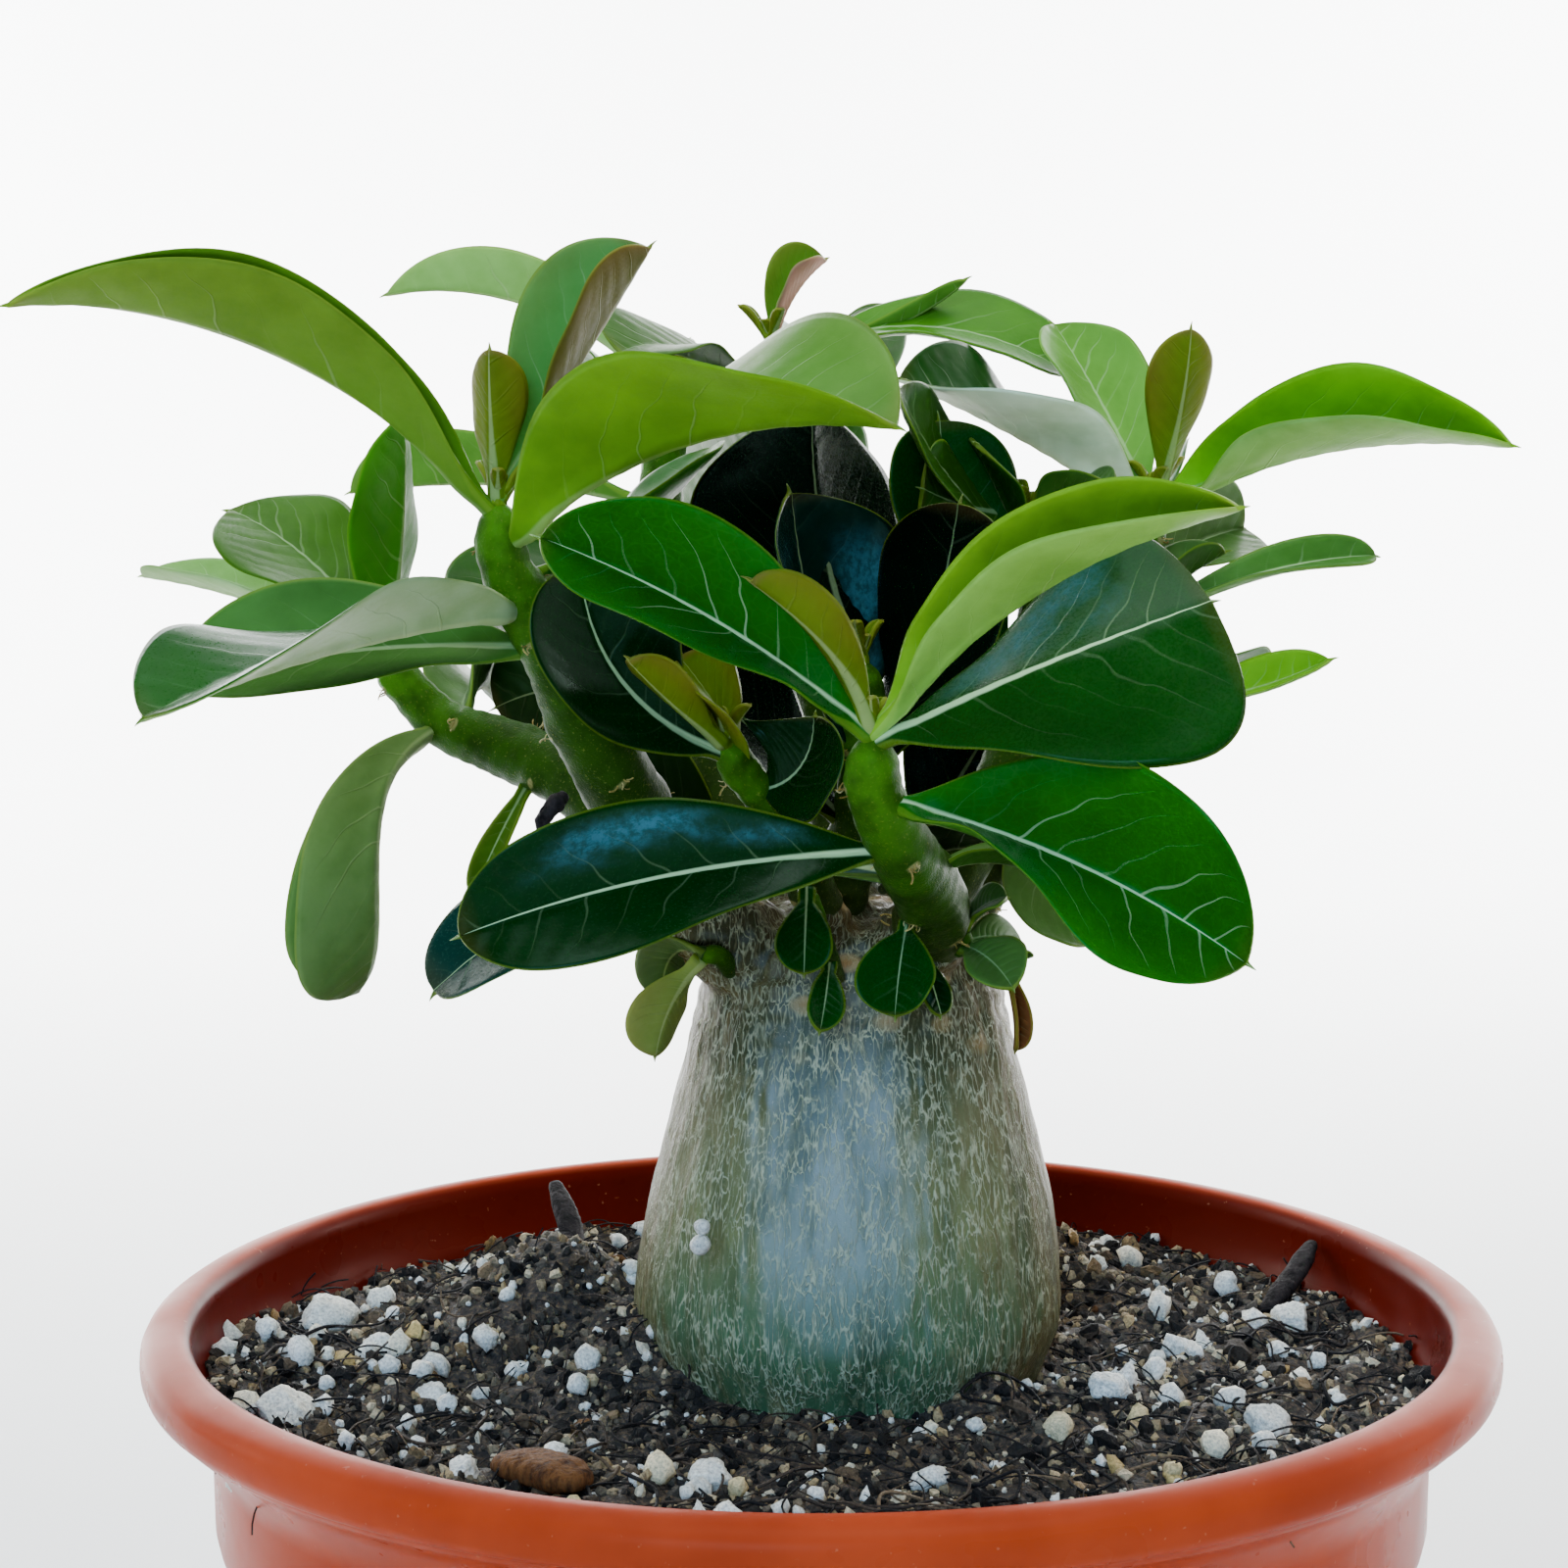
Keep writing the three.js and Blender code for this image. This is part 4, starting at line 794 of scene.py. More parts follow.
shoots = {
    "shootLeftFront": dict(
        node="shoot_left_front",
        path=[(-18, -9, 165), (-25, -18, 181), (-28.5, -22, 190), (-33, -25, 198), (-34, -25, 205.5)],
        radii=[4.4, 4.2, 3.8, 2.8, 2.3],
        leaves=[
            leaf(0.93, 194, 48, 57, 22, "greyGreen", arch=51, swing=10, roll=-27, twist=-36, fold=80,
                 blunt=0.77),
            leaf(1, 255, 78, 16, 8, "olive", arch=-13, swing=-3, roll=3, twist=-6, fold=26, curl=9,
                 blunt=0.55),
            leaf(1, 45, 54, 32, 18, "tealBrown", arch=-4, swing=-41, roll=22, fold=52, curl=6, blunt=0.59),
            leaf(0.82, -40, 37, 51, 34, "bright", arch=45, swing=17, roll=-14, twist=29, fold=30, curl=3,
                 blunt=0.7),
            leaf(0.62, 234, 1, 49, 29, "satin", arch=22, swing=-24, roll=38, twist=-48, fold=17, curl=0,
                 blunt=0.66),
            leaf(0.48, 192, 6, 41, 17, "frosted", arch=23, swing=-5, roll=-51, twist=8, fold=24, curl=6,
                 blunt=0.71),
            leaf(0.72, 41, 12, 33, 16, "deep", arch=-25, swing=10, roll=-31, twist=13, fold=7),
        ],
    ),
    "shootLeft": dict(
        node="shoot_left",
        path=[(-17, -5, 161), (-27, 2, 171.5), (-36, 7, 175.5), (-44, 10, 178.5), (-50.5, 11, 186)],
        radii=[4.2, 3.7, 3.4, 2.8, 2],
        leaves=[
            leaf(1, -43, 75, 28, 18, "leafGreen", arch=-15, swing=8, roll=12, twist=10, fold=6, curl=8,
                 blunt=0.8),
            leaf(0.98, 173, 60, 26, 25, "dusky", arch=39, swing=-11, roll=-15, fold=4, curl=2, blunt=0.66),
            leaf(0.95, 144, 25, 37, 13, "pale", arch=21, swing=17, fold=15, curl=8, blunt=0.46),
            leaf(0.72, 223, -14, 40, 21, "drooping", arch=136, swing=84, roll=56, twist=31, fold=70, curl=10),
            leaf(0.38, 231, -45, 18, 4, "oliveDull", arch=13, swing=-1, roll=-24, twist=-1, fold=19, curl=6,
                 blunt=0.48),
            leaf(0.66, 92, 25, 36, 21, "dull", arch=63, swing=-15, roll=-39, twist=33, fold=43, curl=13,
                 blunt=0.65),
        ],
    ),
    "shootFront": dict(
        node="shoot_front",
        path=[(12, -12, 157), (12, -19, 162), (9, -28, 168), (5.7, -33, 175), (5, -35, 182)],
        radii=[4.2, 4, 3.6, 3, 2.6],
        leaves=[
            leaf(0.98, 207, 41, 41, 22, "emerald", arch=20, swing=-24, roll=-62, twist=-16, fold=40,
                 curl=12, blunt=0.62),
            leaf(1, -108, 56, 23, 8, "olive", arch=21, swing=-71, roll=27, twist=6, fold=36),
            leaf(0.99, -35, 46, 47, 23, "spring", arch=31, swing=17, roll=47, twist=24, fold=67, curl=11,
                 blunt=0.63),
            leaf(0.95, -35, 28, 39, 32, "broad", arch=10, swing=48, roll=35, twist=11, fold=-14, curl=4,
                 blunt=0.35),
            leaf(0.74, -26, -8, 43, 31, "emerald", arch=24, roll=33, twist=38, fold=41, curl=14),
            leaf(0.52, 207, 4, 49, 19, "bottle", arch=24, swing=-18, roll=-56, twist=-20, fold=28, curl=8,
                 blunt=0.57),
            leaf(0.35, 183, 16, 56, 18, "tealGreen", arch=59, swing=6, roll=-24, fold=8, curl=4, blunt=0.43),
            leaf(0.4, -5, 29, 16, 8, "dull", arch=68, swing=-9, fold=20),
        ],
        branches=[
            dict(
                slim=True,
                path=[(10.6, -15, 155), (10.3, -18, 157.5), (9.4, -19.5, 159.7)],
                radii=[1.2, 1.1, 1],
                leaves=[
                    leaf(1, -102, -35, 12, 10, "dark", arch=30, fold=24),
                    leaf(0.4, -64, -47, 9, 4, "bottle", arch=12, fold=10),
                ],
            ),
            dict(
                slim=True,
                path=[(13, -13, 157), (15.4, -14.5, 156), (15.6, -15.5, 158.3)],
                radii=[1.2, 1.1, 1],
                leaves=[
                    leaf(0.5, -58, 1, 11, 8, "dull", arch=36, swing=-5, roll=25, twist=4, fold=24,
                         blunt=0.54),
                    leaf(1, -5, 54, 6, 6, "dull", roll=19, fold=13),
                    leaf(0.6, 34, 17, 9, 8, "dull", arch=65, swing=-2, roll=25, fold=11, blunt=0.54),
                ],
            ),
        ],
    ),
    "shootCentre": dict(
        node="shoot_centre",
        path=[(0, -12, 160), (-3, -16, 168), (-6.5, -19, 173.5), (-10.5, -22, 179.5)],
        radii=[2.6, 2.4, 2.1, 1.8],
        leaves=[
            leaf(1, -130, 32, 16, 7, "olive", arch=-13, swing=-21, roll=13, twist=9, fold=23),
            leaf(0.92, 190, 19, 28, 19, "night", arch=-71, swing=2, roll=-72, twist=-7, fold=19, blunt=0.48),
            leaf(0.7, -35, 6, 13, 19, "night", arch=-89, swing=-9, roll=75, twist=16, fold=19),
            leaf(0.75, 216, 66, 16, 13, "olive", arch=15, swing=-49, roll=-18, fold=15),
        ],
    ),
    "shootMiddle": dict(
        node="shoot_middle",
        path=[(2, -4, 158), (4, -5, 168), (5, -6, 178), (4.5, -7, 187)],
        radii=[3, 2.8, 2.5, 2.2],
        leaves=[
            leaf(0.95, 134, 61, 30, 32, "black", arch=-31, swing=11, roll=-9, twist=2, fold=-20, curl=9,
                 blunt=0.71),
            leaf(0.55, 180, 66, 32, 28, "blueBlack", arch=-20, roll=-35, fold=16, curl=10, blunt=0.61),
            leaf(0.45, -23, 60, 35, 21, "black", arch=-23, swing=11, roll=44, twist=16, fold=-6),
            leaf(0.3, 190, 50, 30, 20, "black", arch=16, roll=-34, twist=-14, fold=4),
            leaf(0.2, -30, 16, 27, 18, "black", arch=14, fold=15),
        ],
    ),
    "shootRight": dict(
        node="shoot_right",
        path=[(12, -2, 156), (16.5, -1, 164), (22, 4, 175), (25.5, 9, 190), (24, 12, 202)],
        radii=[3.6, 3.3, 3, 2.6, 2.2],
        leaves=[
            leaf(0.9, 215, 27, 28, 17, "oliveDark", arch=-38, roll=-36, twist=-14, fold=5, curl=9),
            leaf(0.9, 222, 60, 16, 16, "dark", arch=13, swing=2, roll=-25, twist=-4, fold=-4),
            leaf(1, 225, 2, 18, 14, "oliveDark", arch=-20, roll=-65, twist=-15, fold=-9, blunt=0.35),
            leaf(0.9, -30, 45, 13, 15, "dull", arch=18, fold=30),
            leaf(0.6, 184, 60, 34, 17, "dark", arch=-27, swing=-17, roll=-31, twist=-28, fold=8, curl=6,
                 blunt=0.45),
        ],
    ),
    "shootRightBack": dict(
        node="shoot_right_back",
        path=[(16, 10, 156), (21, 11.5, 164), (27.5, 14, 174), (34, 18, 187), (40.5, 24, 204)],
        radii=[4.4, 4, 3.4, 3, 2.4],
        leaves=[
            leaf(1, -54, 65, 20, 9, "olive", arch=-19, swing=-3, roll=-15, fold=14, blunt=0.61),
            leaf(0.97, -25, 25, 44, 26, "lime", arch=31, swing=2, roll=52, twist=11, fold=64, curl=12,
                 blunt=0.8),
            leaf(0.97, 142, 61, 26, 18, "paleGreen", arch=10, swing=-3, roll=-7, fold=9, curl=11, blunt=0.59),
            leaf(0.96, 208, 33, 36, 26, "keeled", arch=13, swing=-17, roll=17, twist=-41, fold=17,
                 blunt=0.74),
            leaf(0.74, 11, 28, 37, 7, "frosted", arch=28, swing=14, roll=-15, twist=68, fold=27, blunt=0.5),
            leaf(0.8, 61, 26, 30, 16, "dull", arch=21, swing=-18, roll=34, twist=29, fold=39, curl=5,
                 blunt=0.47),
            leaf(0.66, 14, 57, 23, 10, "dull", arch=33),
            leaf(0.86, 85, 32, 42, 20, "deep", arch=45, twist=3, fold=30, curl=9),
        ],
        branches=[
            dict(
                path=[(22, 12, 165), (27, 13, 169), (32, 15, 173.5), (39, 17, 179)],
                radii=[3, 2.8, 2.5, 2],
                leaves=[
                    leaf(1, -13, 4, 22, 8, "lime", arch=-25, swing=3, roll=34, fold=26, blunt=0.7),
                    leaf(0.06, -88, -42, 19, 13, "dull", arch=-5, swing=65, roll=13, fold=6, curl=8,
                         blunt=0.38),
                    leaf(0.9, 61, 25, 32, 16, "deep", arch=50, swing=-3, roll=5, fold=24, curl=8, blunt=0.5),
                ],
            ),
        ],
    ),
    "shootBackLeft": dict(
        node="shoot_back_left",
        path=[(-8, 10, 156), (-11, 18, 168), (-17, 28, 186), (-19, 36, 202), (-17, 40, 218)],
        radii=[4.2, 3.8, 3.3, 2.8, 2.3],
        leaves=[
            leaf(0.95, 165, 44, 41, 12, "paleGreen", arch=54, swing=-1, roll=19, twist=15, fold=58, curl=9,
                 blunt=0.8),
            leaf(0.75, 147, 9, 46, 14, "meadow", arch=18, swing=10, roll=3, twist=23, fold=58, curl=9,
                 blunt=0.54),
            leaf(1, 100, 18, 13, 8, "meadow", arch=22, twist=4, fold=36),
            leaf(0.86, 103, 35, 42, 20, "deep", arch=64, swing=-3, twist=-2, fold=24),
            leaf(0.6, 130, 10, 42, 18, "deep", arch=45, curl=6, blunt=0.48),
            leaf(0.38, 170, 28, 26, 14, "black", arch=56, roll=83, twist=9, fold=3, blunt=0.48),
            leaf(0.14, 178, 35, 21, 16, "black", arch=10, roll=80, fold=5),
        ],
    ),
    "shootBack": dict(
        node="shoot_back",
        path=[(3, 12, 156), (2, 19, 170), (-1, 29, 190), (-4, 36, 207), (-5.5, 42, 222)],
        radii=[4.2, 3.8, 3.3, 2.8, 2.3],
        leaves=[
            leaf(1, 2, 70, 12, 10, "blush", arch=33, roll=34, twist=6, fold=53),
            leaf(0.95, -22, 25, 38, 19, "meadow", arch=58, swing=18, roll=14, twist=9, fold=8, blunt=0.49),
            leaf(0.97, -15, 3, 26, 4, "meadow", arch=-37, swing=5, roll=-18, twist=-11, fold=19, blunt=0.54),
            leaf(0.85, 199, 45, 26, 15, "dull", arch=60, swing=36, twist=-24, fold=17, curl=1, blunt=0.42),
            leaf(0.45, -93, 52, 32, 18, "emerald", arch=-20, swing=8, roll=44, twist=4, fold=-11, curl=3),
            leaf(0.9, 70, 28, 38, 19, "deep", arch=68, twist=-11, fold=30),
            leaf(0.7, 110, 15, 41, 20, "deep", arch=50, roll=31, twist=8, fold=42, curl=10),
        ],
    ),
    "shootBackLow": dict(
        node="shoot_back_low",
        path=[(8, 15, 154), (12, 25, 161), (15, 36, 168), (17, 45, 177)],
        radii=[3.4, 3, 2.6, 2],
        leaves=[
            leaf(1, 75, 72, 17, 8, "olive", arch=10, fold=45),
            leaf(0.97, 95, 35, 34, 17, "deep", arch=60),
            leaf(0.93, 15, 25, 34, 17, "deep", arch=45, fold=30),
            leaf(0.85, 165, 15, 32, 16, "deep", fold=30),
            leaf(0.6, 40, -10, 30, 15, "dull", arch=25, fold=20),
            leaf(0.25, 0, 62, 24, 19, "black", arch=5, roll=88, fold=5),
        ],
    ),
    "sproutFront": dict(
        node="sprout_front",
        slim=True,
        path=[(1.6, -14, 152.3), (-0.2, -17, 158.8), (-1.5, -18.5, 163.1)],
        radii=[1.2, 1.1, 1],
        leaves=[
            leaf(1, -94, -48, 10, 7, "dark", arch=18, fold=19),
            leaf(0.2, -93, -36, 10, 5, "dark", arch=14, swing=-11, roll=-24, fold=23),
        ],
    ),
    "sproutLeft": dict(
        node="sprout_left",
        slim=True,
        path=[(-9.4, -7.5, 151.5), (-11.3, -12, 154.7), (-13.2, -13, 154.5)],
        radii=[1.2, 1.1, 1],
        leaves=[
            leaf(0.8, 131, 24, 13, 7, "grey", arch=125, swing=-10, roll=10, twist=4, fold=21, blunt=0.62),
            leaf(1, 156, -46, 13, 8, "yellowing", arch=37, swing=1, roll=36, fold=21, blunt=0.57),
        ],
    ),
    "dryLeafRight": dict(
        node="dry_leaf_right",
        slim=True,
        path=[(17, -4, 150.5), (20.4, -7.5, 153.8)],
        radii=[1, 0.8],
        leaves=[
            leaf(1, -67, -51, 11, 4, "dried", arch=50, swing=20, roll=3, twist=4, fold=50),
        ],
    ),
}


# trunk: a swollen flask of smooth skin with short stubs that carry the shoots
trunk = dict(
    centre=mix["trunkFoot"], sides=120, rows=150, voxel=0.62, stubRoot=150.0,
    profile=[(0, 74), (9, 75.5), (14, 80), (17, 88), (20, 97), (22, 104), (23.9, 110), (24, 115), (23.1, 122),
             (21.6, 129), (19.8, 136.6), (18, 144), (16.2, 151), (13, 156), (7, 158.4), (0, 159)],
)


def trunkFlask():
    profile = np.array([(r, z, 0) for r, z in trunk["profile"]])
    line = curveThrough(profile, np.linspace(0, 1, trunk["rows"]))
    r, z = np.maximum(line[1:-1, 0], 0.05), line[1:-1, 1]
    angle = np.linspace(0, 2 * math.pi, trunk["sides"], endpoint=False)
    a, r, z = angle[None, :], r[:, None], z[:, None]
    bulge = 1 + 0.02 * np.cos(2 * a + 0.6) + 0.012 * np.sin(3 * a + z / 18)
    points = np.stack([trunk["centre"][0] + r * np.cos(a) * bulge,
                       trunk["centre"][1] + r * np.sin(a) * bulge, z + 0 * a], -1)
    rows = len(points)
    faces = ringFaces(rows, trunk["sides"]).tolist()
    last = (rows - 1) * trunk["sides"]
    top = (*trunk["centre"], trunk["profile"][-1][1])
    bottom = (*trunk["centre"], trunk["profile"][0][1])
    for j in range(trunk["sides"]):
        after = (j + 1) % trunk["sides"]
        faces.append([rows * trunk["sides"], after, j])
        faces.append([rows * trunk["sides"] + 1, last + j, last + after])
    return np.vstack([points.reshape(-1, 3), [bottom, top]]), faces


def trunkStub(shoot):
    start = np.array(shoot["path"][0], float)
    ahead = unit(np.array(shoot["path"][1], float) - start)
    middle = np.array([*trunk["centre"], trunk["stubRoot"]])
    root = middle + 0.4 * (np.array([start[0], start[1], trunk["stubRoot"]]) - middle)
    bend = root + 0.6 * (start - root)
    thick = 1.1 * shoot["radii"][0]
    tube = tubeMesh([root, bend, start + 1.5 * ahead], [1.3 * thick, 1.15 * thick, 0.98 * thick], 28, 18)
    return np.vstack([tube["points"].reshape(-1, 3), tube["ends"]]), tube["faces"]


def makeTrunk():
    stubs = [trunkStub(shoot) for shoot in shoots.values() if not shoot.get("slim")]
    points, faces = joinMeshes([trunkFlask(), *stubs])
    piece = makeObject("swollenTrunk", points, faces, [makeTrunkMaterial()])
    remesh = piece.modifiers.new("oneSkin", "REMESH")
    remesh.mode = "VOXEL"
    remesh.voxel_size = trunk["voxel"] * mm
    remesh.use_smooth_shade = True
    bakeModifiers(piece)
    soften = piece.modifiers.new("soften", "SMOOTH")
    soften.factor = 0.5
    soften.iterations = 7
    bakeModifiers(piece)
    points, normals = meshPoints(piece), meshNormals(piece)
    away = points[:, :2] - trunk["centre"]
    angle = np.arctan2(away[:, 1], away[:, 0])
    wrapped = np.stack([22 * np.cos(angle), 22 * np.sin(angle), 0.16 * points[:, 2]], 1)
    crown = smoothStep(points[:, 2], 138, 152)
    streaks = 0.13 * softNoise(wrapped, 1.5, 5) + 0.09 * softNoise(wrapped, 0.7, 6)
    dents = 0.45 * softNoise(points, 13, 7) + 0.2 * softNoise(points, 5.5, 8)
    warts = 0.22 * softNoise(points, 2.2, 9) * (0.25 + 1.2 * crown)
    rings = 0.14 * np.sin(2.3 * points[:, 2] + 2.0 * softNoise(points, 6, 10)) * crown
    placePoints(piece, points + (streaks + dents + warts + rings)[:, None] * normals)
    piece.data.polygons.foreach_set("use_smooth", np.ones(len(piece.data.polygons), bool))
    print("   swollenTrunk", len(piece.data.polygons), "faces")
    return settle(piece, "trunk_bark", "trunk")


def makeTrunkMaterial():
    material, tree, shader = newMaterial("trunkSkin", Specular_IOR_Level=0.04,
                                         Specular_Tint=(0.7, 0.85, 1, 1))
    place = put(tree, "ShaderNodeTexCoord").outputs["Object"]
    height = put(tree, "ShaderNodeSeparateXYZ", {0: place}).outputs
    grain = placeGroup(tree, grainGroup, Fine_size=0.4, Broad_size=11.0).outputs
    tall = stretched(tree, (1, 1, 0.22))
    wander = put(tree, "ShaderNodeTexNoise", {"Vector": tall, "Scale": 700.0, "Detail": 3.0}).outputs["Color"]
    bent = vectorCalc(tree, "ADD", tall, vectorCalc(tree, "MULTIPLY", wander, (0.0022, 0.0022, 0.0022)))
    cells = put(tree, "ShaderNodeTexVoronoi", {"Vector": bent, "Scale": 1350.0}, feature="DISTANCE_TO_EDGE")
    seams = fade(tree, cells.outputs["Distance"], 0.0, 0.13, 1.0, 0.0)
    patches = fade(tree, speckle(tree, stretched(tree, (1, 1, 0.5)), 420.0, 4.0), 0.34, 0.6)
    # the skin is smoother round the sides than in front
    directions = {0: put(tree, "ShaderNodeNewGeometry").outputs["Normal"], 1: (-0.1, -0.95, 0.3)}
    facingFrontLight = put(tree, "ShaderNodeVectorMath", directions, operation="DOT_PRODUCT").outputs["Value"]
    seams = calc(tree, "MULTIPLY", calc(tree, "MULTIPLY", seams, patches),
                 fade(tree, facingFrontLight, 0.0, 0.8, 0.2, 1.0))
    flakes = fade(tree, speckle(tree, bent, 1400.0, 3.0), 0.5, 0.66)
    bands = speckle(tree, stretched(tree, (1, 1, 0.2)), 150.0, 4.0)
    # green at the foot, grey-olive on the belly, darker and rougher to the crown
    byHeight = ramp(tree, fade(tree, height[2], 0.1, 0.16), [
        (0.0, paint(44, 84, 58)), (0.14, paint(78, 108, 76)), (0.36, paint(114, 122, 80)),
        (0.62, paint(106, 108, 74)),
        (0.8, paint(62, 68, 44)), (1.0, paint(58, 60, 40))])
    # painted shade: brown and darker round the sides that turn away from the front light, with a painted
    # blue-grey sheen in front that stands in for the front light's reflection
    byHeight = blend(tree, fade(tree, facingFrontLight, 0.3, 0.9, 0.85, 0.0), byHeight, paint(82, 68, 36))
    # painted sheen: a blue-grey patch where the skin faces the bluish front light, standing in for its
    # reflection
    paintedSheen = calc(tree, "MULTIPLY", fade(tree, facingFrontLight, 0.86, 1.0),
                 fade(tree, height[2], 0.108, 0.126, 0.2, 1.0))
    paintedSheen = calc(tree, "MULTIPLY", paintedSheen, fade(tree, height[2], 0.136, 0.148, 1.0, 0.3))
    byHeight = blend(tree, calc(tree, "MULTIPLY", paintedSheen, 0.55), byHeight, paint(156, 176, 186))
    colour = blend(tree, fade(tree, bands, 0.48, 0.72, 0.0, 0.6), byHeight, paint(36, 54, 34))
    colour = blend(tree, fade(tree, bands, 0.3, 0.44, 0.45, 0.0), colour, paint(118, 108, 72))
    colour = blend(tree, calc(tree, "MULTIPLY", flakes, 0.3), colour, paint(146, 146, 112))
    colour = blend(tree, calc(tree, "MULTIPLY", seams, 0.7), colour, paint(190, 196, 164))
    crownward = fade(tree, height[2], 0.138, 0.153)
    spread = {"Vector": stretched(tree, (1, 1, 1.6)), "Scale": 145.0, "Randomness": 0.9}
    scars = put(tree, "ShaderNodeTexVoronoi", spread)
    scarMask = calc(tree, "MULTIPLY", fade(tree, scars.outputs["Distance"], 0.2, 0.34, 1.0, 0.0), crownward)
    scarInner = calc(tree, "MULTIPLY", fade(tree, scars.outputs["Distance"], 0.08, 0.2, 1.0, 0.0), crownward)
    colour = blend(tree, calc(tree, "MULTIPLY", scarMask, 0.6), colour, paint(178, 158, 112))
    colour = blend(tree, calc(tree, "MULTIPLY", scarInner, 0.55), colour, paint(150, 100, 48))
    specks = fade(tree, grain["Fine"], 0.64, 0.72)
    colour = blend(tree, calc(tree, "MULTIPLY", specks, 0.4), colour, paint(206, 206, 186))
    rough = calc(tree, "ADD", fade(tree, bands, 0.3, 0.7, 0.26, 0.4), calc(tree, "MULTIPLY", flakes, 0.16))
    relief = calc(tree, "ADD", calc(tree, "MULTIPLY", seams, 0.8), calc(tree, "MULTIPLY", flakes, 0.4))
    relief = calc(tree, "ADD", relief, calc(tree, "MULTIPLY", grain["Fine"], 0.4))
    relief = calc(tree, "ADD", relief, calc(tree, "MULTIPLY", scarMask, 0.8))
    finishSurface(tree, shader, colour, rough, relief, 0.0003, 0.7)
    return material


# leaves and stems: each look has its colours above and below, its roughness, how strongly veins and midrib
# show, and how far the margin blushes
leafLooks = {
    "greyGreen": dict(top=(70, 126, 8), under=(98, 136, 34), rough=0.4, veins=0.25, rib=0.3, blush=0.1),
    "olive": dict(top=(80, 112, 0), under=(84, 112, 2), rough=0.4, veins=0.06, rib=0.4, blush=0.4),
    "tealBrown": dict(top=(66, 128, 56), under=(82, 82, 24), rough=0.4, veins=0.3, rib=0.4, blush=0.3),
    "bright": dict(top=(76, 126, 38), under=(94, 146, 12), rough=0.38, veins=0.2, rib=0.3, blush=0.08),
    # the pale underside is partly the leaf's own paler underside and partly painted sheen
    "satin": dict(top=(16, 80, 8), under=(146, 172, 124), rough=0.3, veins=0.15, rib=0.4, blush=0.0),
    "frosted": dict(top=(60, 110, 40), under=(96, 136, 70), rough=0.45, veins=0.15, rib=0.5, blush=0.0),
    "deep": dict(top=(10, 84, 2), under=(26, 84, 4), rough=0.34, veins=0.2, rib=0.5, blush=0.0),
    "leafGreen": dict(top=(38, 118, 0), under=(48, 124, 4), rough=0.38, veins=0.2, rib=0.4, blush=0.0),
    "drooping": dict(top=(80, 116, 52), under=(88, 118, 60), rough=0.4, veins=0.15, rib=0.3, blush=0.0),
    "paleGreen": dict(top=(98, 158, 56), under=(132, 178, 84), rough=0.4, veins=0.3, rib=0.4, blush=0.0),
    "dusky": dict(top=(52, 98, 14), under=(68, 106, 24), rough=0.38, veins=0.2, rib=0.4, blush=0.0),
    "meadow": dict(top=(60, 122, 14), under=(84, 134, 40), rough=0.4, veins=0.25, rib=0.5, blush=0.0),
    "pale": dict(top=(108, 164, 72), under=(150, 190, 120), rough=0.42, veins=0.3, rib=0.4, blush=0.0),
    "dull": dict(top=(62, 98, 40), under=(34, 72, 14), rough=0.4, veins=0.15, rib=0.3, blush=0.0),
    "oliveDull": dict(top=(50, 86, 10), under=(58, 90, 18), rough=0.4, veins=0.1, rib=0.3, blush=0.1),
    "emerald": dict(top=(0, 94, 0), under=(40, 100, 12), rough=0.3, veins=0.6, rib=1.0, blush=0.0),
    "spring": dict(top=(116, 168, 24), under=(126, 178, 70), rough=0.36, veins=0.3, rib=0.3, blush=0.12),
    "bottle": dict(top=(0, 40, 4), under=(26, 74, 32), rough=0.24, veins=0.12, rib=1.0, blush=0.0),
    "broad": dict(top=(14, 62, 6), under=(28, 66, 16), rough=0.28, veins=0.2, rib=1.0, blush=0.0),
    # the leaf's own dark green with a teal tint that is a painted reflection of the blue front light
    "tealGreen": dict(top=(0, 44, 36), under=(26, 74, 44), rough=0.24, veins=0.1, rib=0.6, blush=0.0),
    "night": dict(top=(2, 34, 4), under=(20, 60, 12), rough=0.24, veins=0.06, rib=0.6, blush=0.0),
    "dark": dict(top=(2, 54, 6), under=(24, 64, 8), rough=0.26, veins=0.08, rib=0.45, blush=0.0),
    # very dark: the leaf's own dark green deepened with painted shade, for leaves deep inside the crown
    "black": dict(top=(0, 12, 3), under=(8, 36, 5), rough=0.26, veins=0.03, rib=0.25, blush=0.0),
    # the leaf's own very dark green with a teal tint that is a painted reflection of the blue front light
    "blueBlack": dict(top=(0, 30, 24), under=(12, 48, 24), rough=0.2, veins=0.03, rib=0.3, blush=0.0),
    "oliveDark": dict(top=(26, 66, 2), under=(40, 72, 10), rough=0.32, veins=0.08, rib=0.3, blush=0.0),
    "lime": dict(top=(112, 182, 10), under=(132, 178, 84), rough=0.38, veins=0.25, rib=0.4, blush=0.0),
    "blush": dict(top=(96, 140, 30), under=(200, 140, 124), rough=0.4, veins=0.1, rib=0.2, blush=0.4),
    # the near-white underside is partly the leaf's own paler underside and partly painted sheen
    "keeled": dict(top=(4, 62, 6), under=(228, 246, 208), rough=0.34, veins=0.1, rib=0.3, blush=0.0),
    "grey": dict(top=(46, 80, 34), under=(70, 98, 54), rough=0.42, veins=0.2, rib=0.4, blush=0.1),
    "yellowing": dict(top=(124, 150, 50), under=(132, 156, 74), rough=0.4, veins=0.2, rib=0.4, blush=0.3),
    "dried": dict(top=(90, 50, 22), under=(104, 64, 30), rough=0.6, veins=0.2, rib=0.3, blush=0.5),
}
glossyLooks = ("emerald", "bottle", "broad", "tealGreen", "night", "dark", "black", "blueBlack",
               "oliveDark", "satin")
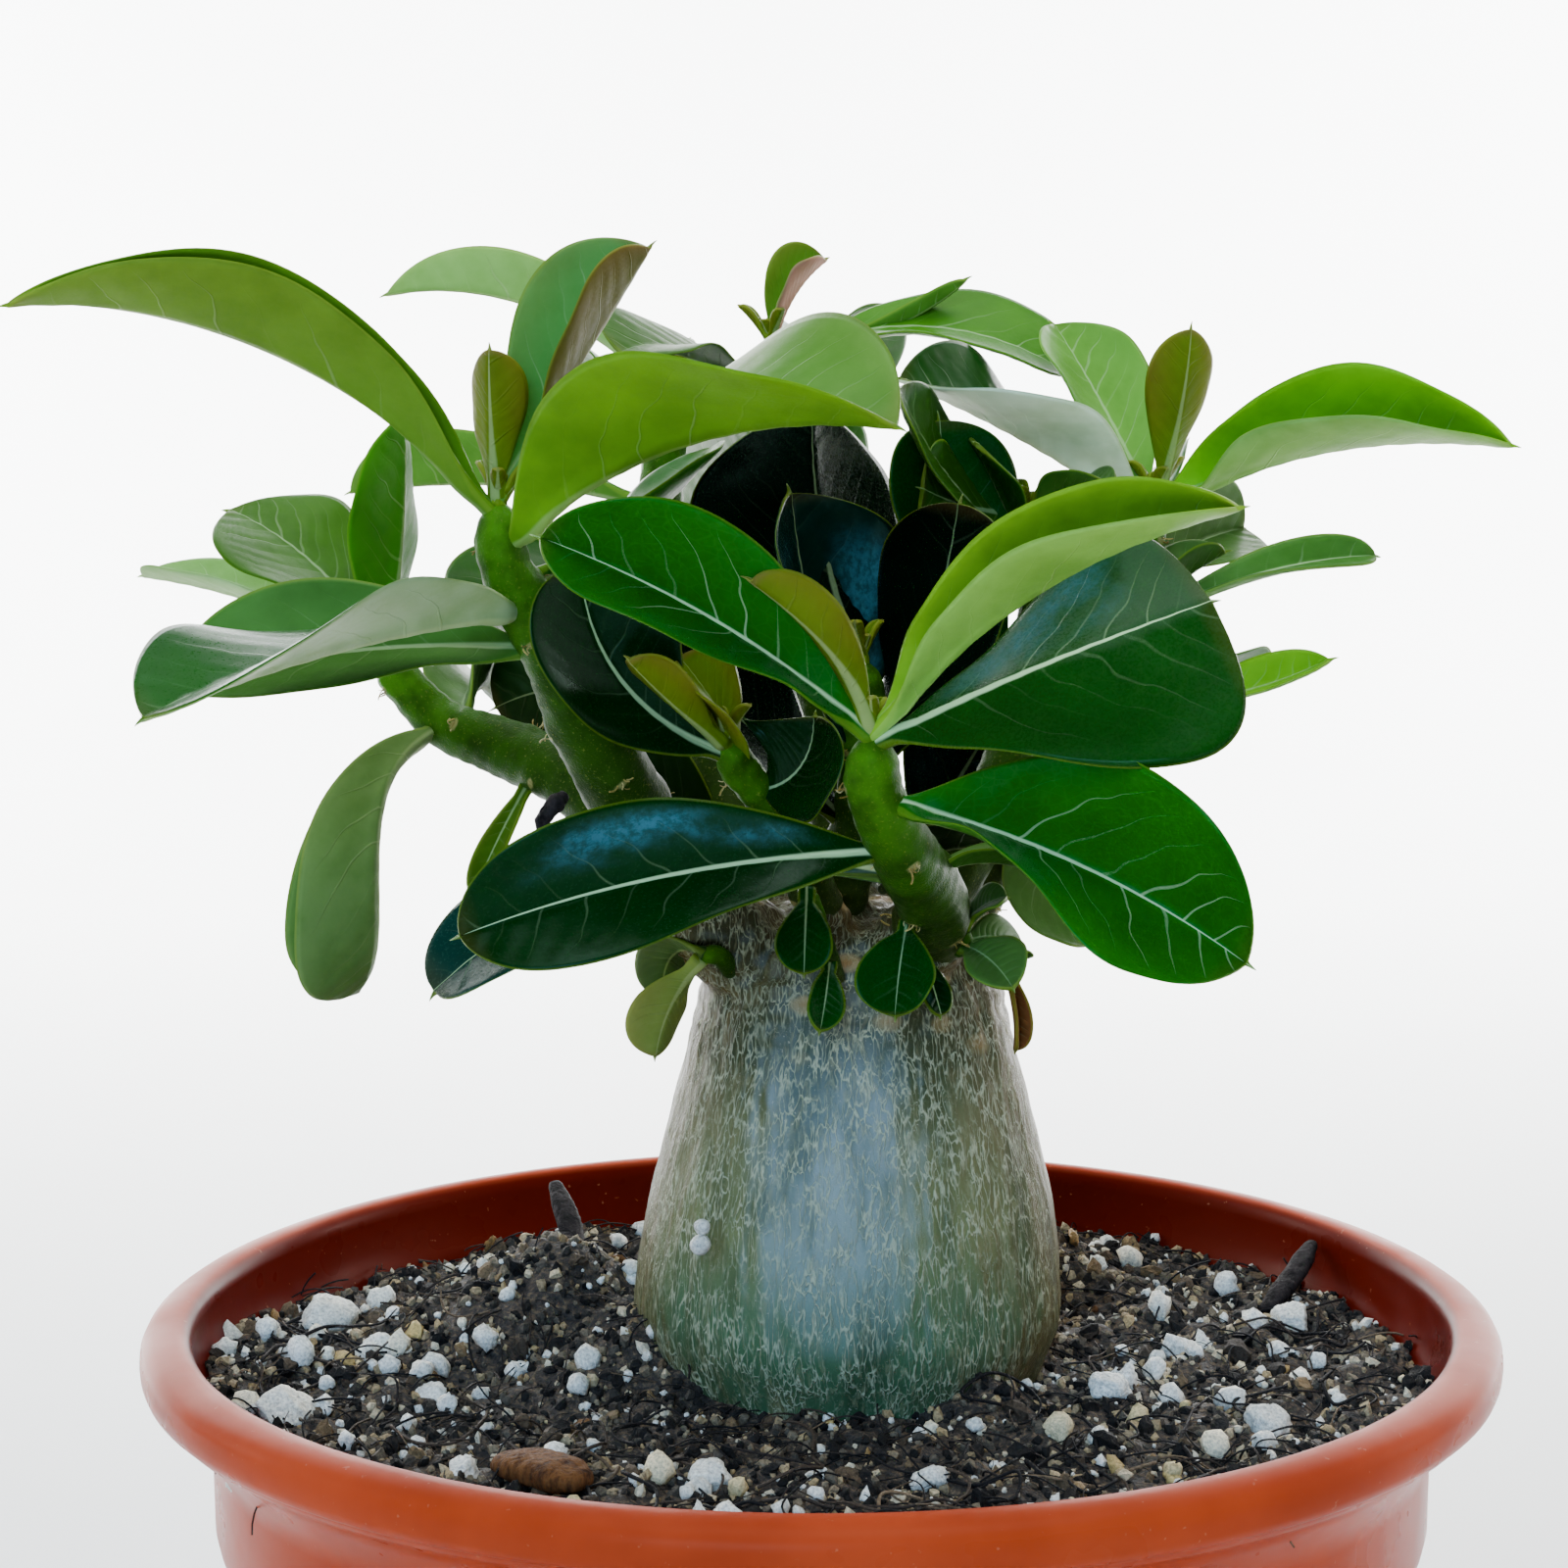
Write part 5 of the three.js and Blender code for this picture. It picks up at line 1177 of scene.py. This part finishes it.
# painted bluish sheen on the two halves of a blade, standing in for the reflection of the blue front light
skyShine = {"bottle": (0.0, 0.8), "broad": (0.4, 0.0), "tealGreen": (0.7, 0.7), "blueBlack": (0.75, 0.75)}
leafShape = dict(
    rows=56, columns=11, smallRows=30, smallColumns=6, thickness=0.56, ridge=0.85, ripple=0.5, veinCount=12,
)


def leafOutline(t, blunt):
    taper = 1.35
    widest = taper / (taper + blunt)
    peak = widest**taper * (1 - widest) ** blunt
    return t**taper * np.maximum(1 - t, 0) ** blunt / peak


def midribAt(blade, base, t):  # points on the midrib, with the leaf's sideways and facing directions there
    def direction(s):
        turn = np.radians(blade["heading"] + blade["swing"] * s)
        climb = np.radians(blade["rise"] - blade["arch"] * s**1.15)
        return np.stack([np.cos(turn) * np.cos(climb), np.sin(turn) * np.cos(climb), np.sin(climb)], -1)
    pieces = 24
    steps = direction((np.arange(pieces) + 0.5)[None, :] / pieces * t[:, None])
    points = base + steps.sum(1) * (blade["length"] * t / pieces)[:, None]
    along = direction(t)
    turn = np.radians(blade["heading"] + blade["swing"] * t)
    flat = np.stack([-np.sin(turn), np.cos(turn), 0 * turn], 1)
    angle = np.radians(blade["roll"] + blade["twist"] * t)[:, None]
    side = flat * np.cos(angle) + np.cross(along, flat) * np.sin(angle)
    return points, along, side, np.cross(along, side)


def bladeMesh(blade, base, number):
    width, length = blade["width"], blade["length"]
    big = width > 9
    rows = leafShape["rows"] if big else leafShape["smallRows"]
    half = leafShape["columns"] if big else leafShape["smallColumns"]
    t = 1 - (1 - np.arange(rows + 1) / rows) ** 1.5
    points, along, side, face = midribAt(blade, base, t)
    stalk = 1 - smoothStep(t, 0.1, 0.5)
    body = width / 2 * leafOutline(t, blade["blunt"])
    narrow = 0.3 + 0.25 * smoothStep(1 - t, 0, 0.06) + 0.5 * stalk
    reach = np.sqrt(body**2 + narrow**2) if width > 5 else np.maximum(body, narrow)
    reach = np.where(t < 0.5, np.maximum(body, narrow), reach * (body / np.maximum(body, 0.4)) ** 0.2)
    reach = np.maximum(reach, 0.18)
    unfolded = smoothStep(t, 0, 0.35)[:, None]
    x = np.arange(-half, half + 1) / half
    share = np.sign(x) * (0.45 * np.abs(x) ** 1.5 + 0.55 * (1 - (1 - np.abs(x)) ** 1.6))
    size = np.abs(share)[None, :]
    lift = np.radians(blade["fold"] * (0.5 + 0.5 * unfolded) + blade["curl"] * size * unfolded)
    outward = reach[:, None] * share[None, :]
    sideways = outward * np.cos(lift)
    rise = np.abs(outward) * np.sin(lift)
    phase = 1.7 * number + (share > 0)[None, :] * 2.1
    waves = np.sin(t[:, None] * (7.5 + number % 3) + phase) + 0.5 * np.sin(t[:, None] * 17 + 2 * phase)
    tipFade = smoothStep(1 - t, 0, 0.2)[:, None]
    ripple = leafShape["ripple"] * min(width / 25, 1.2) * waves * size**2.2 * unfolded * tipFade
    middle = points[:, None] + side[:, None] * sideways[..., None] + face[:, None] * rise[..., None]
    leaning = (np.sin(lift) * np.sign(share)[None, :])[..., None]
    out = face[:, None] * np.cos(lift)[..., None] - side[:, None] * leaning
    middle = middle + out * ripple[..., None]
    # thickness, which rounds off at the margin and turns into a round stalk at the foot
    across = np.abs(outward)
    rim = np.sqrt(np.clip(1 - size**7, 0, 1))
    stalkward = (1 - smoothStep(t, 0.01, 0.16))[:, None]
    stalkSkin = reach[:, None] * 0.85 * np.sqrt(np.clip(1 - size**2, 0, 1))
    ribFade = np.clip(1 - t, 0, 1)[:, None]
    ribReach = 0.35 + 0.75 * ribFade**0.6
    ridge = leafShape["ridge"] * min(1, width / 16) * ribFade**0.7 * np.exp(-((across / ribReach) ** 2))
    gapSize = length / leafShape["veinCount"]
    s = (t * length)[:, None]
    cell = (s - veinSlant["lean"] * across - veinSlant["curve"] * across**2) / gapSize
    cell = cell + 0.5 * (share > 0)[None, :]
    swelling = np.abs((cell % 1) - 0.5) * 2 - 0.5
    quilt = 0.1 * swelling * unfolded * smoothStep(1 - size, 0, 0.3) * min(1, width / 20)
    upper = rim * (leafShape["thickness"] / 2 + 0.12 * ridge) * (1 - stalkward) + stalkSkin * stalkward
    lower = rim * (leafShape["thickness"] / 2 + ridge) * (1 - stalkward) + stalkSkin * stalkward
    top = middle + out * (upper + quilt)[..., None]
    bottom = middle - out * (lower - quilt)[..., None]
    ring = np.concatenate([top, bottom[:, -2:0:-1]], 1)
    ring[:, 0] = (top[:, 0] + bottom[:, 0]) / 2
    ring[:, 2 * half] = (top[:, -1] + bottom[:, -1]) / 2
    around = np.concatenate([share, share[-2:0:-1]])
    count = ring.shape[1]
    # the little point at the tip curves down a touch
    tipRows = []
    spike = min(1.1, 0.05 * length)
    centre = ring[-1].mean(0)
    for ahead, shrink in ((0.35, 0.62), (0.75, 0.34), (1.0, 0.12)):
        droop = face[-1] * 0.3 * spike * ahead**2
        tipRows.append(centre + (ring[-1] - centre) * shrink + along[-1] * spike * ahead - droop)
    ring = np.concatenate([ring, np.array(tipRows)])
    t = np.concatenate([t, [1, 1, 1]])
    reach = np.concatenate([reach, reach[-1] * np.array([0.6, 0.3, 0.1])])
    total = len(ring)
    place = np.zeros((total, count, 3))
    place[..., 0] = reach[:, None] * around[None, :]
    place[..., 1] = (t * length)[:, None]
    sideGap = reach[:, None] * (1 - np.abs(around)[None, :])
    endGap = ((1 - t) * length)[:, None] + 0.12
    place[..., 2] = np.minimum(sideGap, np.where(t[:, None] > 0.5, endGap, 99))
    shares = np.zeros((total, count, 3))
    shares[..., 0] = around[None, :]
    shares[..., 1] = t[:, None]
    shares[..., 2] = length
    faces = ringFaces(total, count)[:, ::-1]
    under = np.tile(np.arange(count) >= 2 * half, total - 1)
    faces = faces.tolist()
    hub = total * count
    for j in range(count):
        after = (j + 1) % count
        faces.append([hub, j, after])
        faces.append([hub + 1, (total - 1) * count + after, (total - 1) * count + j])
    under = np.concatenate([under, np.zeros(2 * count, bool)])
    ends = np.array([ring[0].mean(0), ring[-1].mean(0)])
    points = np.vstack([ring.reshape(-1, 3), ends])
    place = np.vstack([place.reshape(-1, 3), [[0, 0, 9]], [[0, length, 0]]])
    shares = np.vstack([shares.reshape(-1, 3), [[0, 0, length]], [[0, 1, length]]])
    look = leafLooks[blade["look"]]
    count = len(points)
    shade = 1 + 0.07 * math.sin(3.7 * number + 0.4 * length)
    top = np.array(paint(*look["top"])[:3]) * shade
    below = np.array(paint(*look["under"])[:3]) * shade
    traits = (look["rough"], look["veins"] * min(1, length / 30), look["blush"])
    upper = 3 if blade["look"] in glossyLooks else 0
    shine = (*skyShine.get(blade["look"], (0, 0)), 0)
    return dict(
        points=points, faces=faces, materials=np.where(under, 1, upper),
        values=dict(
            leafPlace=place, leafShare=shares, leafTop=np.tile(top, (count, 1)),
            leafUnder=np.tile(below, (count, 1)),
            leafTraits=np.tile(traits, (count, 1)), ribShow=np.full(count, look["rib"]),
            leafShine=np.tile(shine, (count, 1)),
            stemPlace=np.zeros((count, 3)), scar=np.zeros(count),
        ),
    )


def stemParts(shoot, number):  # the stem's skin with its leaf scars, then its blades and its side branches
    slim = shoot.get("slim")
    radii = shoot["radii"]
    path = [tuple(point) for point in shoot["path"]]
    sides, rows = (16, 16) if slim else (36, 90)
    tube = tubeMesh(path, radii, sides, rows)
    points, out, length = tube["points"], tube["out"], tube["length"]
    around = tube["angle"][None, :] * tube["radius"][:, None]
    along = np.broadcast_to(length[:, None], around.shape)
    full = length[-1]
    scar = np.zeros(around.shape)
    ledge = np.zeros(around.shape)
    spot, k = 2.5, 0
    while not slim and spot < full - 2:
        turn = math.radians(137.5 * k + 40 * number) % (2 * math.pi)
        gap = (tube["angle"] - turn + math.pi) % (2 * math.pi) - math.pi
        across = gap[None, :] * tube["radius"][:, None]
        near = np.exp(-((across / 1.0) ** 2 + ((along - spot) / 0.6) ** 2) ** 1.5)
        scar = np.maximum(scar, near)
        ledge = np.maximum(ledge, np.exp(-((across / 1.7) ** 2 + ((along - spot - 0.3) / 1.3) ** 2)))
        spot += 2.4 + 3.2 * spot / full
        k += 1
    wrinkles = np.sin(2.9 * along + 1.3 * np.sin(tube["angle"] * 2 + number)[None, :])
    east, north = 2.2 * np.cos(tube["angle"])[None, :], 2.2 * np.sin(tube["angle"])[None, :]
    tall = np.stack([east + 0 * along, north + 0 * along, 0.14 * along], -1)
    grooves = softNoise(tall.reshape(-1, 3), 0.7, number).reshape(around.shape)
    tip = np.sqrt(np.clip(1 - smoothStep(along, full - 1.6 * radii[-1], full) ** 2, 0.0, 1))
    swell = 0.42 * ledge + 0.05 * wrinkles + 0.16 * grooves - 0.12 * scar
    if slim:
        swell = 0.04 * wrinkles
    shrink = (tip * 0.78 + 0.22 - 1) * tube["radius"][:, None]
    points = points + out * (swell * tip + shrink)[..., None]
    points = np.vstack([points.reshape(-1, 3), tube["ends"]])
    count = len(points)
    heightShare = np.append(np.broadcast_to((length / full)[:, None], around.shape).ravel(), [0, 1])
    scarValues = np.append(scar.ravel(), [0, 0])
    stemPlace = np.stack([np.append(around.ravel(), [0, 0]), np.append(along.ravel(), [0, full]),
                          heightShare], 1)
    blank = np.zeros((count, 3))
    parts = [dict(
        points=points, faces=tube["faces"], materials=np.full(len(tube["faces"]), 2),
        values=dict(leafPlace=blank, leafShare=blank, leafTop=blank, leafUnder=blank, leafTraits=blank,
                    ribShow=np.zeros(count), leafShine=blank, stemPlace=stemPlace, scar=scarValues),
    )]
    blades = list(shoot["leaves"])
    if not slim:  # young leaves that close the growing tip
        for k in range(4):
            heading = 137.5 * k + 65 * number
            blades.append(leaf(0.985, heading, 58 + 6 * k, 6.5 - k, 2.4, "olive", arch=18, fold=45))
    for k, blade in enumerate(blades):
        base = curveThrough(path, blade["at"])[0]
        parts.append(bladeMesh(blade, base, 7 * number + k))
    for k, branch in enumerate(shoot.get("branches", [])):
        parts += stemParts(branch, 5 * number + k + 3)
    return parts


def makeLeafMaterial(name, side, bumpiness, sheen, tint):
    upper = side == "leafTop"
    material, tree, shader = newMaterial(name, Specular_IOR_Level=sheen, Specular_Tint=tint)
    veins = placeGroup(tree, veinGroup, Side_veins=10.0, Rib_width=0.8, Vein_width=0.22).outputs
    grain = placeGroup(tree, grainGroup, Fine_size=0.35, Broad_size=9.0).outputs
    traits = put(tree, "ShaderNodeSeparateXYZ", {0: value(tree, "leafTraits", "Vector")}).outputs
    share = put(tree, "ShaderNodeSeparateXYZ", {0: value(tree, "leafShare", "Vector")}).outputs
    base = value(tree, side, "Color")
    outward = calc(tree, "ABSOLUTE", share[0])
    lighter = blend(tree, 0.5, base, paint(180, 205, 120))
    deeper = blend(tree, 1.0, base, (0.62, 0.7, 0.5, 1), "MULTIPLY")
    colour = blend(tree, fade(tree, grain["Broad"], 0.35, 0.7, 0.0, 0.8), base, deeper)
    colour = blend(tree, calc(tree, "MULTIPLY", veins["Quilt"], 0.14), colour, deeper)
    colour = blend(tree, calc(tree, "MULTIPLY", veins["Net"], calc(tree, "MULTIPLY", traits[1], 0.05)),
                   colour, lighter)
    pale = paint(188, 222, 160) if upper else paint(190, 208, 140)
    nearRib = fade(tree, outward, 0.0, 0.75, 1.0, 0.35)
    veinShow = calc(tree, "MULTIPLY", calc(tree, "MULTIPLY", veins["Vein"], traits[1]), nearRib)
    colour = blend(tree, calc(tree, "MULTIPLY", veinShow, 0.8, clamp=True), colour, pale)
    ribShow = calc(tree, "MULTIPLY", veins["Rib"], calc(tree, "MULTIPLY", value(tree, "ribShow"), 0.85))
    colour = blend(tree, ribShow, colour, pale)
    blushStart, blushLeast = (0.4, 0.1) if upper else (0.1, 0.4)
    blush = calc(tree, "MULTIPLY", traits[2], fade(tree, outward, blushStart, 1.0, blushLeast, 1.0))
    blush = calc(tree, "MULTIPLY", blush, fade(tree, grain["Broad"], 0.2, 0.65, 0.6, 1.0))
    blush = calc(tree, "MULTIPLY", blush, fade(tree, share[1], 0.05, 0.6))
    colour = blend(tree, calc(tree, "MULTIPLY", blush, 0.6 if upper else 0.85), colour, paint(138, 76, 44))
    tipTint = calc(tree, "MULTIPLY", fade(tree, share[1], 0.94, 1.0),
                   calc(tree, "ADD", traits[2], 0.12, clamp=True))
    colour = blend(tree, tipTint, colour, paint(120, 92, 50))
    colour = blend(tree, calc(tree, "MULTIPLY", veins["Margin"], 0.28), colour, paint(130, 160, 40))
    rough = calc(tree, "ADD", traits[0], fade(tree, grain["Fine"], 0.3, 0.7, -0.04, 0.05))
    if not upper:
        rough = calc(tree, "ADD", rough, 0.12)
    onBlade = value(tree, "leafPlace", "Vector")
    wax = speckle(tree, onBlade, 0.16, 2.0)
    # waxy blades get a painted bluish sheen on one half or both, standing in for the reflection of the blue
    # front light
    shine = put(tree, "ShaderNodeSeparateXYZ", {0: value(tree, "leafShine", "Vector")}).outputs
    leftward = calc(tree, "MULTIPLY", share[0], -1.0)
    shineMask = calc(tree, "ADD", calc(tree, "MULTIPLY", shine[0], fade(tree, share[0], 0.05, 0.5)),
                     calc(tree, "MULTIPLY", shine[1], fade(tree, leftward, 0.2, 0.6)))
    shineMask = calc(tree, "MULTIPLY", shineMask, fade(tree, share[1], 0.15, 0.42))
    shineMask = calc(tree, "MULTIPLY", shineMask, fade(tree, share[1], 0.66, 0.9, 1.0, 0.0))
    shineMask = calc(tree, "MULTIPLY", shineMask, fade(tree, outward, 0.7, 0.95, 1.0, 0.0))
    broad = fade(tree, speckle(tree, onBlade, 0.11, 2.0), 0.38, 0.6, 0.1, 1.0)
    wrinkled = fade(tree, speckle(tree, onBlade, 0.9, 5.0, 0.7), 0.36, 0.62, 0.4, 1.0)
    shineMask = calc(tree, "MULTIPLY", shineMask, calc(tree, "MULTIPLY", broad, wrinkled))
    colour = blend(tree, shineMask, colour, paint(58, 112, 128))
    veinRelief = calc(tree, "MULTIPLY", veins["Vein"], -0.25 if upper else 0.45)
    relief = calc(tree, "ADD", calc(tree, "MULTIPLY", veins["Quilt"], 0.16), veinRelief)
    relief = calc(tree, "ADD", relief, calc(tree, "MULTIPLY", wax, 0.7))
    relief = calc(tree, "ADD", relief, calc(tree, "MULTIPLY", grain["Fine"], 0.06))
    finishSurface(tree, shader, colour, rough, relief, 0.0003, bumpiness)
    return material


def makeStemMaterial():
    material, tree, shader = newMaterial("stemSkin", Specular_IOR_Level=0.12,
                                         Specular_Tint=(0.6, 0.9, 0.3, 1))
    place = put(tree, "ShaderNodeSeparateXYZ", {0: value(tree, "stemPlace", "Vector")}).outputs
    grain = placeGroup(tree, grainGroup, Fine_size=0.3, Broad_size=4.5).outputs
    colour = ramp(tree, place[2], [
        (0.0, paint(50, 62, 24)), (0.2, paint(34, 58, 10)), (0.6, paint(32, 74, 2)),
        (1.0, paint(60, 118, 4))])
    colour = blend(tree, fade(tree, grain["Broad"], 0.35, 0.7, 0.0, 0.7), colour, paint(18, 40, 4))
    specks = fade(tree, grain["Fine"], 0.6, 0.7)
    colour = blend(tree, calc(tree, "MULTIPLY", specks, 0.3), colour, paint(140, 146, 66))
    scar = value(tree, "scar")
    colour = blend(tree, fade(tree, scar, 0.4, 0.8, 0.0, 0.6), colour, paint(158, 150, 92))
    colour = blend(tree, fade(tree, scar, 0.86, 0.97, 0.0, 0.6), colour, paint(104, 82, 44))
    relief = calc(tree, "ADD", calc(tree, "MULTIPLY", grain["Fine"], 0.5), calc(tree, "MULTIPLY", scar, 0.4))
    rough = fade(tree, grain["Broad"], 0.3, 0.7, 0.34, 0.5)
    finishSurface(tree, shader, colour, rough, relief, 0.0003, 0.8)
    return material


def makeShoot(name, shoot, number, finishes):
    parts = stemParts(shoot, number)
    points, faces = joinMeshes([(part["points"], part["faces"]) for part in parts])
    values = {key: np.concatenate([part["values"][key] for part in parts]) for key in parts[0]["values"]}
    materials = np.concatenate([part["materials"] for part in parts])
    piece = makeObject(name, points, faces, finishes, materials, **values)
    print("  ", name, len(faces), "faces")
    return settle(piece, "dry_leaf" if name == "dryLeafRight" else "green_leaf", shoot["node"])


makeTrunk()
print("trunk made")
leafFinishes = [
    makeLeafMaterial("leafUpperSide", "leafTop", 0.55, 0.13, (0.75, 0.95, 0.35, 1)),
    makeLeafMaterial("leafUnderSide", "leafUnder", 0.7, 0.1, (0.85, 1, 0.45, 1)),
    makeStemMaterial(),
    makeLeafMaterial("glossyUpperSide", "leafTop", 0.4, 0.1, (0.4, 0.9, 0.7, 1)),
]
for number, (shootName, shoot) in enumerate(shoots.items()):
    makeShoot(shootName, shoot, number, leafFinishes)


def makeBristles():  # short pale hairs that stand in the leaf scars
    stems = [stemParts(shoot, number)[0]
             for number, shoot in enumerate(shoots.values()) if not shoot.get("slim")]
    points, faces = joinMeshes([(stem["points"], stem["faces"]) for stem in stems])
    scars = np.concatenate([stem["values"]["scar"] for stem in stems])
    skin = makeObject("stemSkins", points, faces, [bristleMaterial], bristleCover=smoothStep(scars, 0.5, 0.9))
    bristleTree = scatterTree(
        "strewBristles", "bristleCover", lambda host: fibreShapes(host, 4, 0.07, 4), standingUp)
    strew("stemBristles", skin, bristleTree, "green_leaf", True, Per_square_metre=2600000.0,
          Smallest=0.0006, Largest=0.0017, Rarity_of_large=1.5, Lift=0.35, Seed=41, Finish=bristleMaterial)
    bpy.data.objects.remove(skin)


bristleStops = [(0.0, paint(120, 96, 40)), (0.6, paint(172, 150, 78)), (1.0, paint(210, 196, 140))]
bristleMaterial = makeCrumbMaterial("bristles", bristleStops, 0.6)
makeBristles()
print("shoots made")


# a dry scrap that hangs by the left shoot
hangingScrap = dict(path=[(-28.0, -12.6, 172.8), (-28.9, -13.8, 172.0), (-30.2, -14.2, 170.4),
                          (-31, -14, 168.4)],
                    radii=[0.5, 1.1, 0.9, 0.35])


def makeHangingScrap():
    tube = tubeMesh(hangingScrap["path"], hangingScrap["radii"], 12, 24)
    points = np.vstack([tube["points"].reshape(-1, 3), tube["ends"]])
    points[:, 0] += 0.3 * softNoise(points, 0.9, 81)
    points[:, 1] += 0.3 * softNoise(points, 0.9, 82)
    return settle(makeObject("hangingScrap", points, tube["faces"], [twigMaterial]), "dry_leaf")


makeHangingScrap()


# floor, light and camera
studio = dict(
    floorSize=6.0, floorColour=(240, 241, 240), wallStart=0.9, wallBend=0.7, wallTop=4.0, worldStrength=0.22,
    camera=dict(lens=81.0, sensor=36.0, place=(-0.00398, -0.3963, 0.2246), turn=(82.47, 0.16, -0.02)),
    lights={
        "skyLight": dict(power=20.0, place=(0, 0.0, 1.4), aim=(0, 0, 0.15), size=(1.1, 1.1),
                         colour=(0.97, 0.99, 1)),
        "frontLight": dict(power=22.0, place=(-0.35, -1.3, 0.72), aim=(0, 0, 0.15), size=(0.75, 0.75),
                           colour=(0.4, 0.66, 1)),
        "leftLight": dict(power=4.0, place=(-1.3, 0.1, 0.5), aim=(0, 0, 0.16), size=(0.8, 1.0),
                          colour=(1, 0.98, 0.92)),
        "rightLight": dict(power=4.0, place=(1.3, 0.1, 0.5), aim=(0, 0, 0.16), size=(0.8, 1.0),
                           colour=(1, 0.98, 0.92)),
        "backLeft": dict(power=90.0, place=(-1.4, 0.9, 0.9), aim=(-0.1, 1.6, 0.25), size=(1, 1),
                         colour=(1, 1, 1), spread=100),
        "backRight": dict(power=90.0, place=(1.4, 0.9, 0.9), aim=(0.1, 1.6, 0.25), size=(1, 1),
                          colour=(1, 1, 1), spread=100),
    },
)


def makeFloor():
    material, tree, shader = newMaterial("paleFloor", Roughness=0.9)
    grain = placeGroup(tree, grainGroup, Fine_size=2.0, Broad_size=400.0).outputs
    colour = blend(tree, grain["Broad"], paint(*studio["floorColour"]), paint(222, 223, 222))
    finishSurface(tree, shader, colour)
    half = studio["floorSize"] / 2
    start, bend = studio["wallStart"], studio["wallBend"]
    steps = 24
    profile = [(-half, 0.0), (start, 0.0)]
    for k in range(1, steps + 1):
        turn = math.pi / 2 * k / steps
        profile.append((start + bend * math.sin(turn), bend - bend * math.cos(turn)))
    profile.append((start + bend, studio["wallTop"]))
    points = [(x, y, z) for y, z in profile for x in (-half, half)]
    faces = [[2 * i, 2 * i + 1, 2 * i + 3, 2 * i + 2] for i in range(len(profile) - 1)]
    makeObject("floor", np.array(points) / mm, faces, [material])


def addLight(name, power, place, aim, size, colour, spread=180):
    lamp = bpy.data.lights.new(name, "AREA")
    lamp.energy = power
    lamp.shape = "RECTANGLE"
    lamp.size, lamp.size_y = size
    lamp.color = colour
    lamp.spread = math.radians(spread)
    holder = bpy.data.objects.new(name, lamp)
    holder.location = place
    holder.rotation_euler = (Vector(aim) - Vector(place)).to_track_quat("-Z", "Y").to_euler()
    bpy.context.scene.collection.objects.link(holder)


makeFloor()
for lightName, light in studio["lights"].items():
    addLight(lightName, **light)
world = bpy.data.worlds.new("softRoom")
world.use_nodes = True
world.node_tree.nodes["Background"].inputs["Color"].default_value = (0.95, 0.97, 1.0, 1)
world.node_tree.nodes["Background"].inputs["Strength"].default_value = studio["worldStrength"]
bpy.context.scene.world = world

view = studio["camera"]
lens = bpy.data.cameras.new("camera")
lens.lens = view["lens"]
lens.sensor_width = view["sensor"]
camera = bpy.data.objects.new("camera", lens)
camera.location = view["place"]
camera.rotation_euler = [math.radians(angle) for angle in view["turn"]]
bpy.context.scene.collection.objects.link(camera)
bpy.context.scene.camera = camera
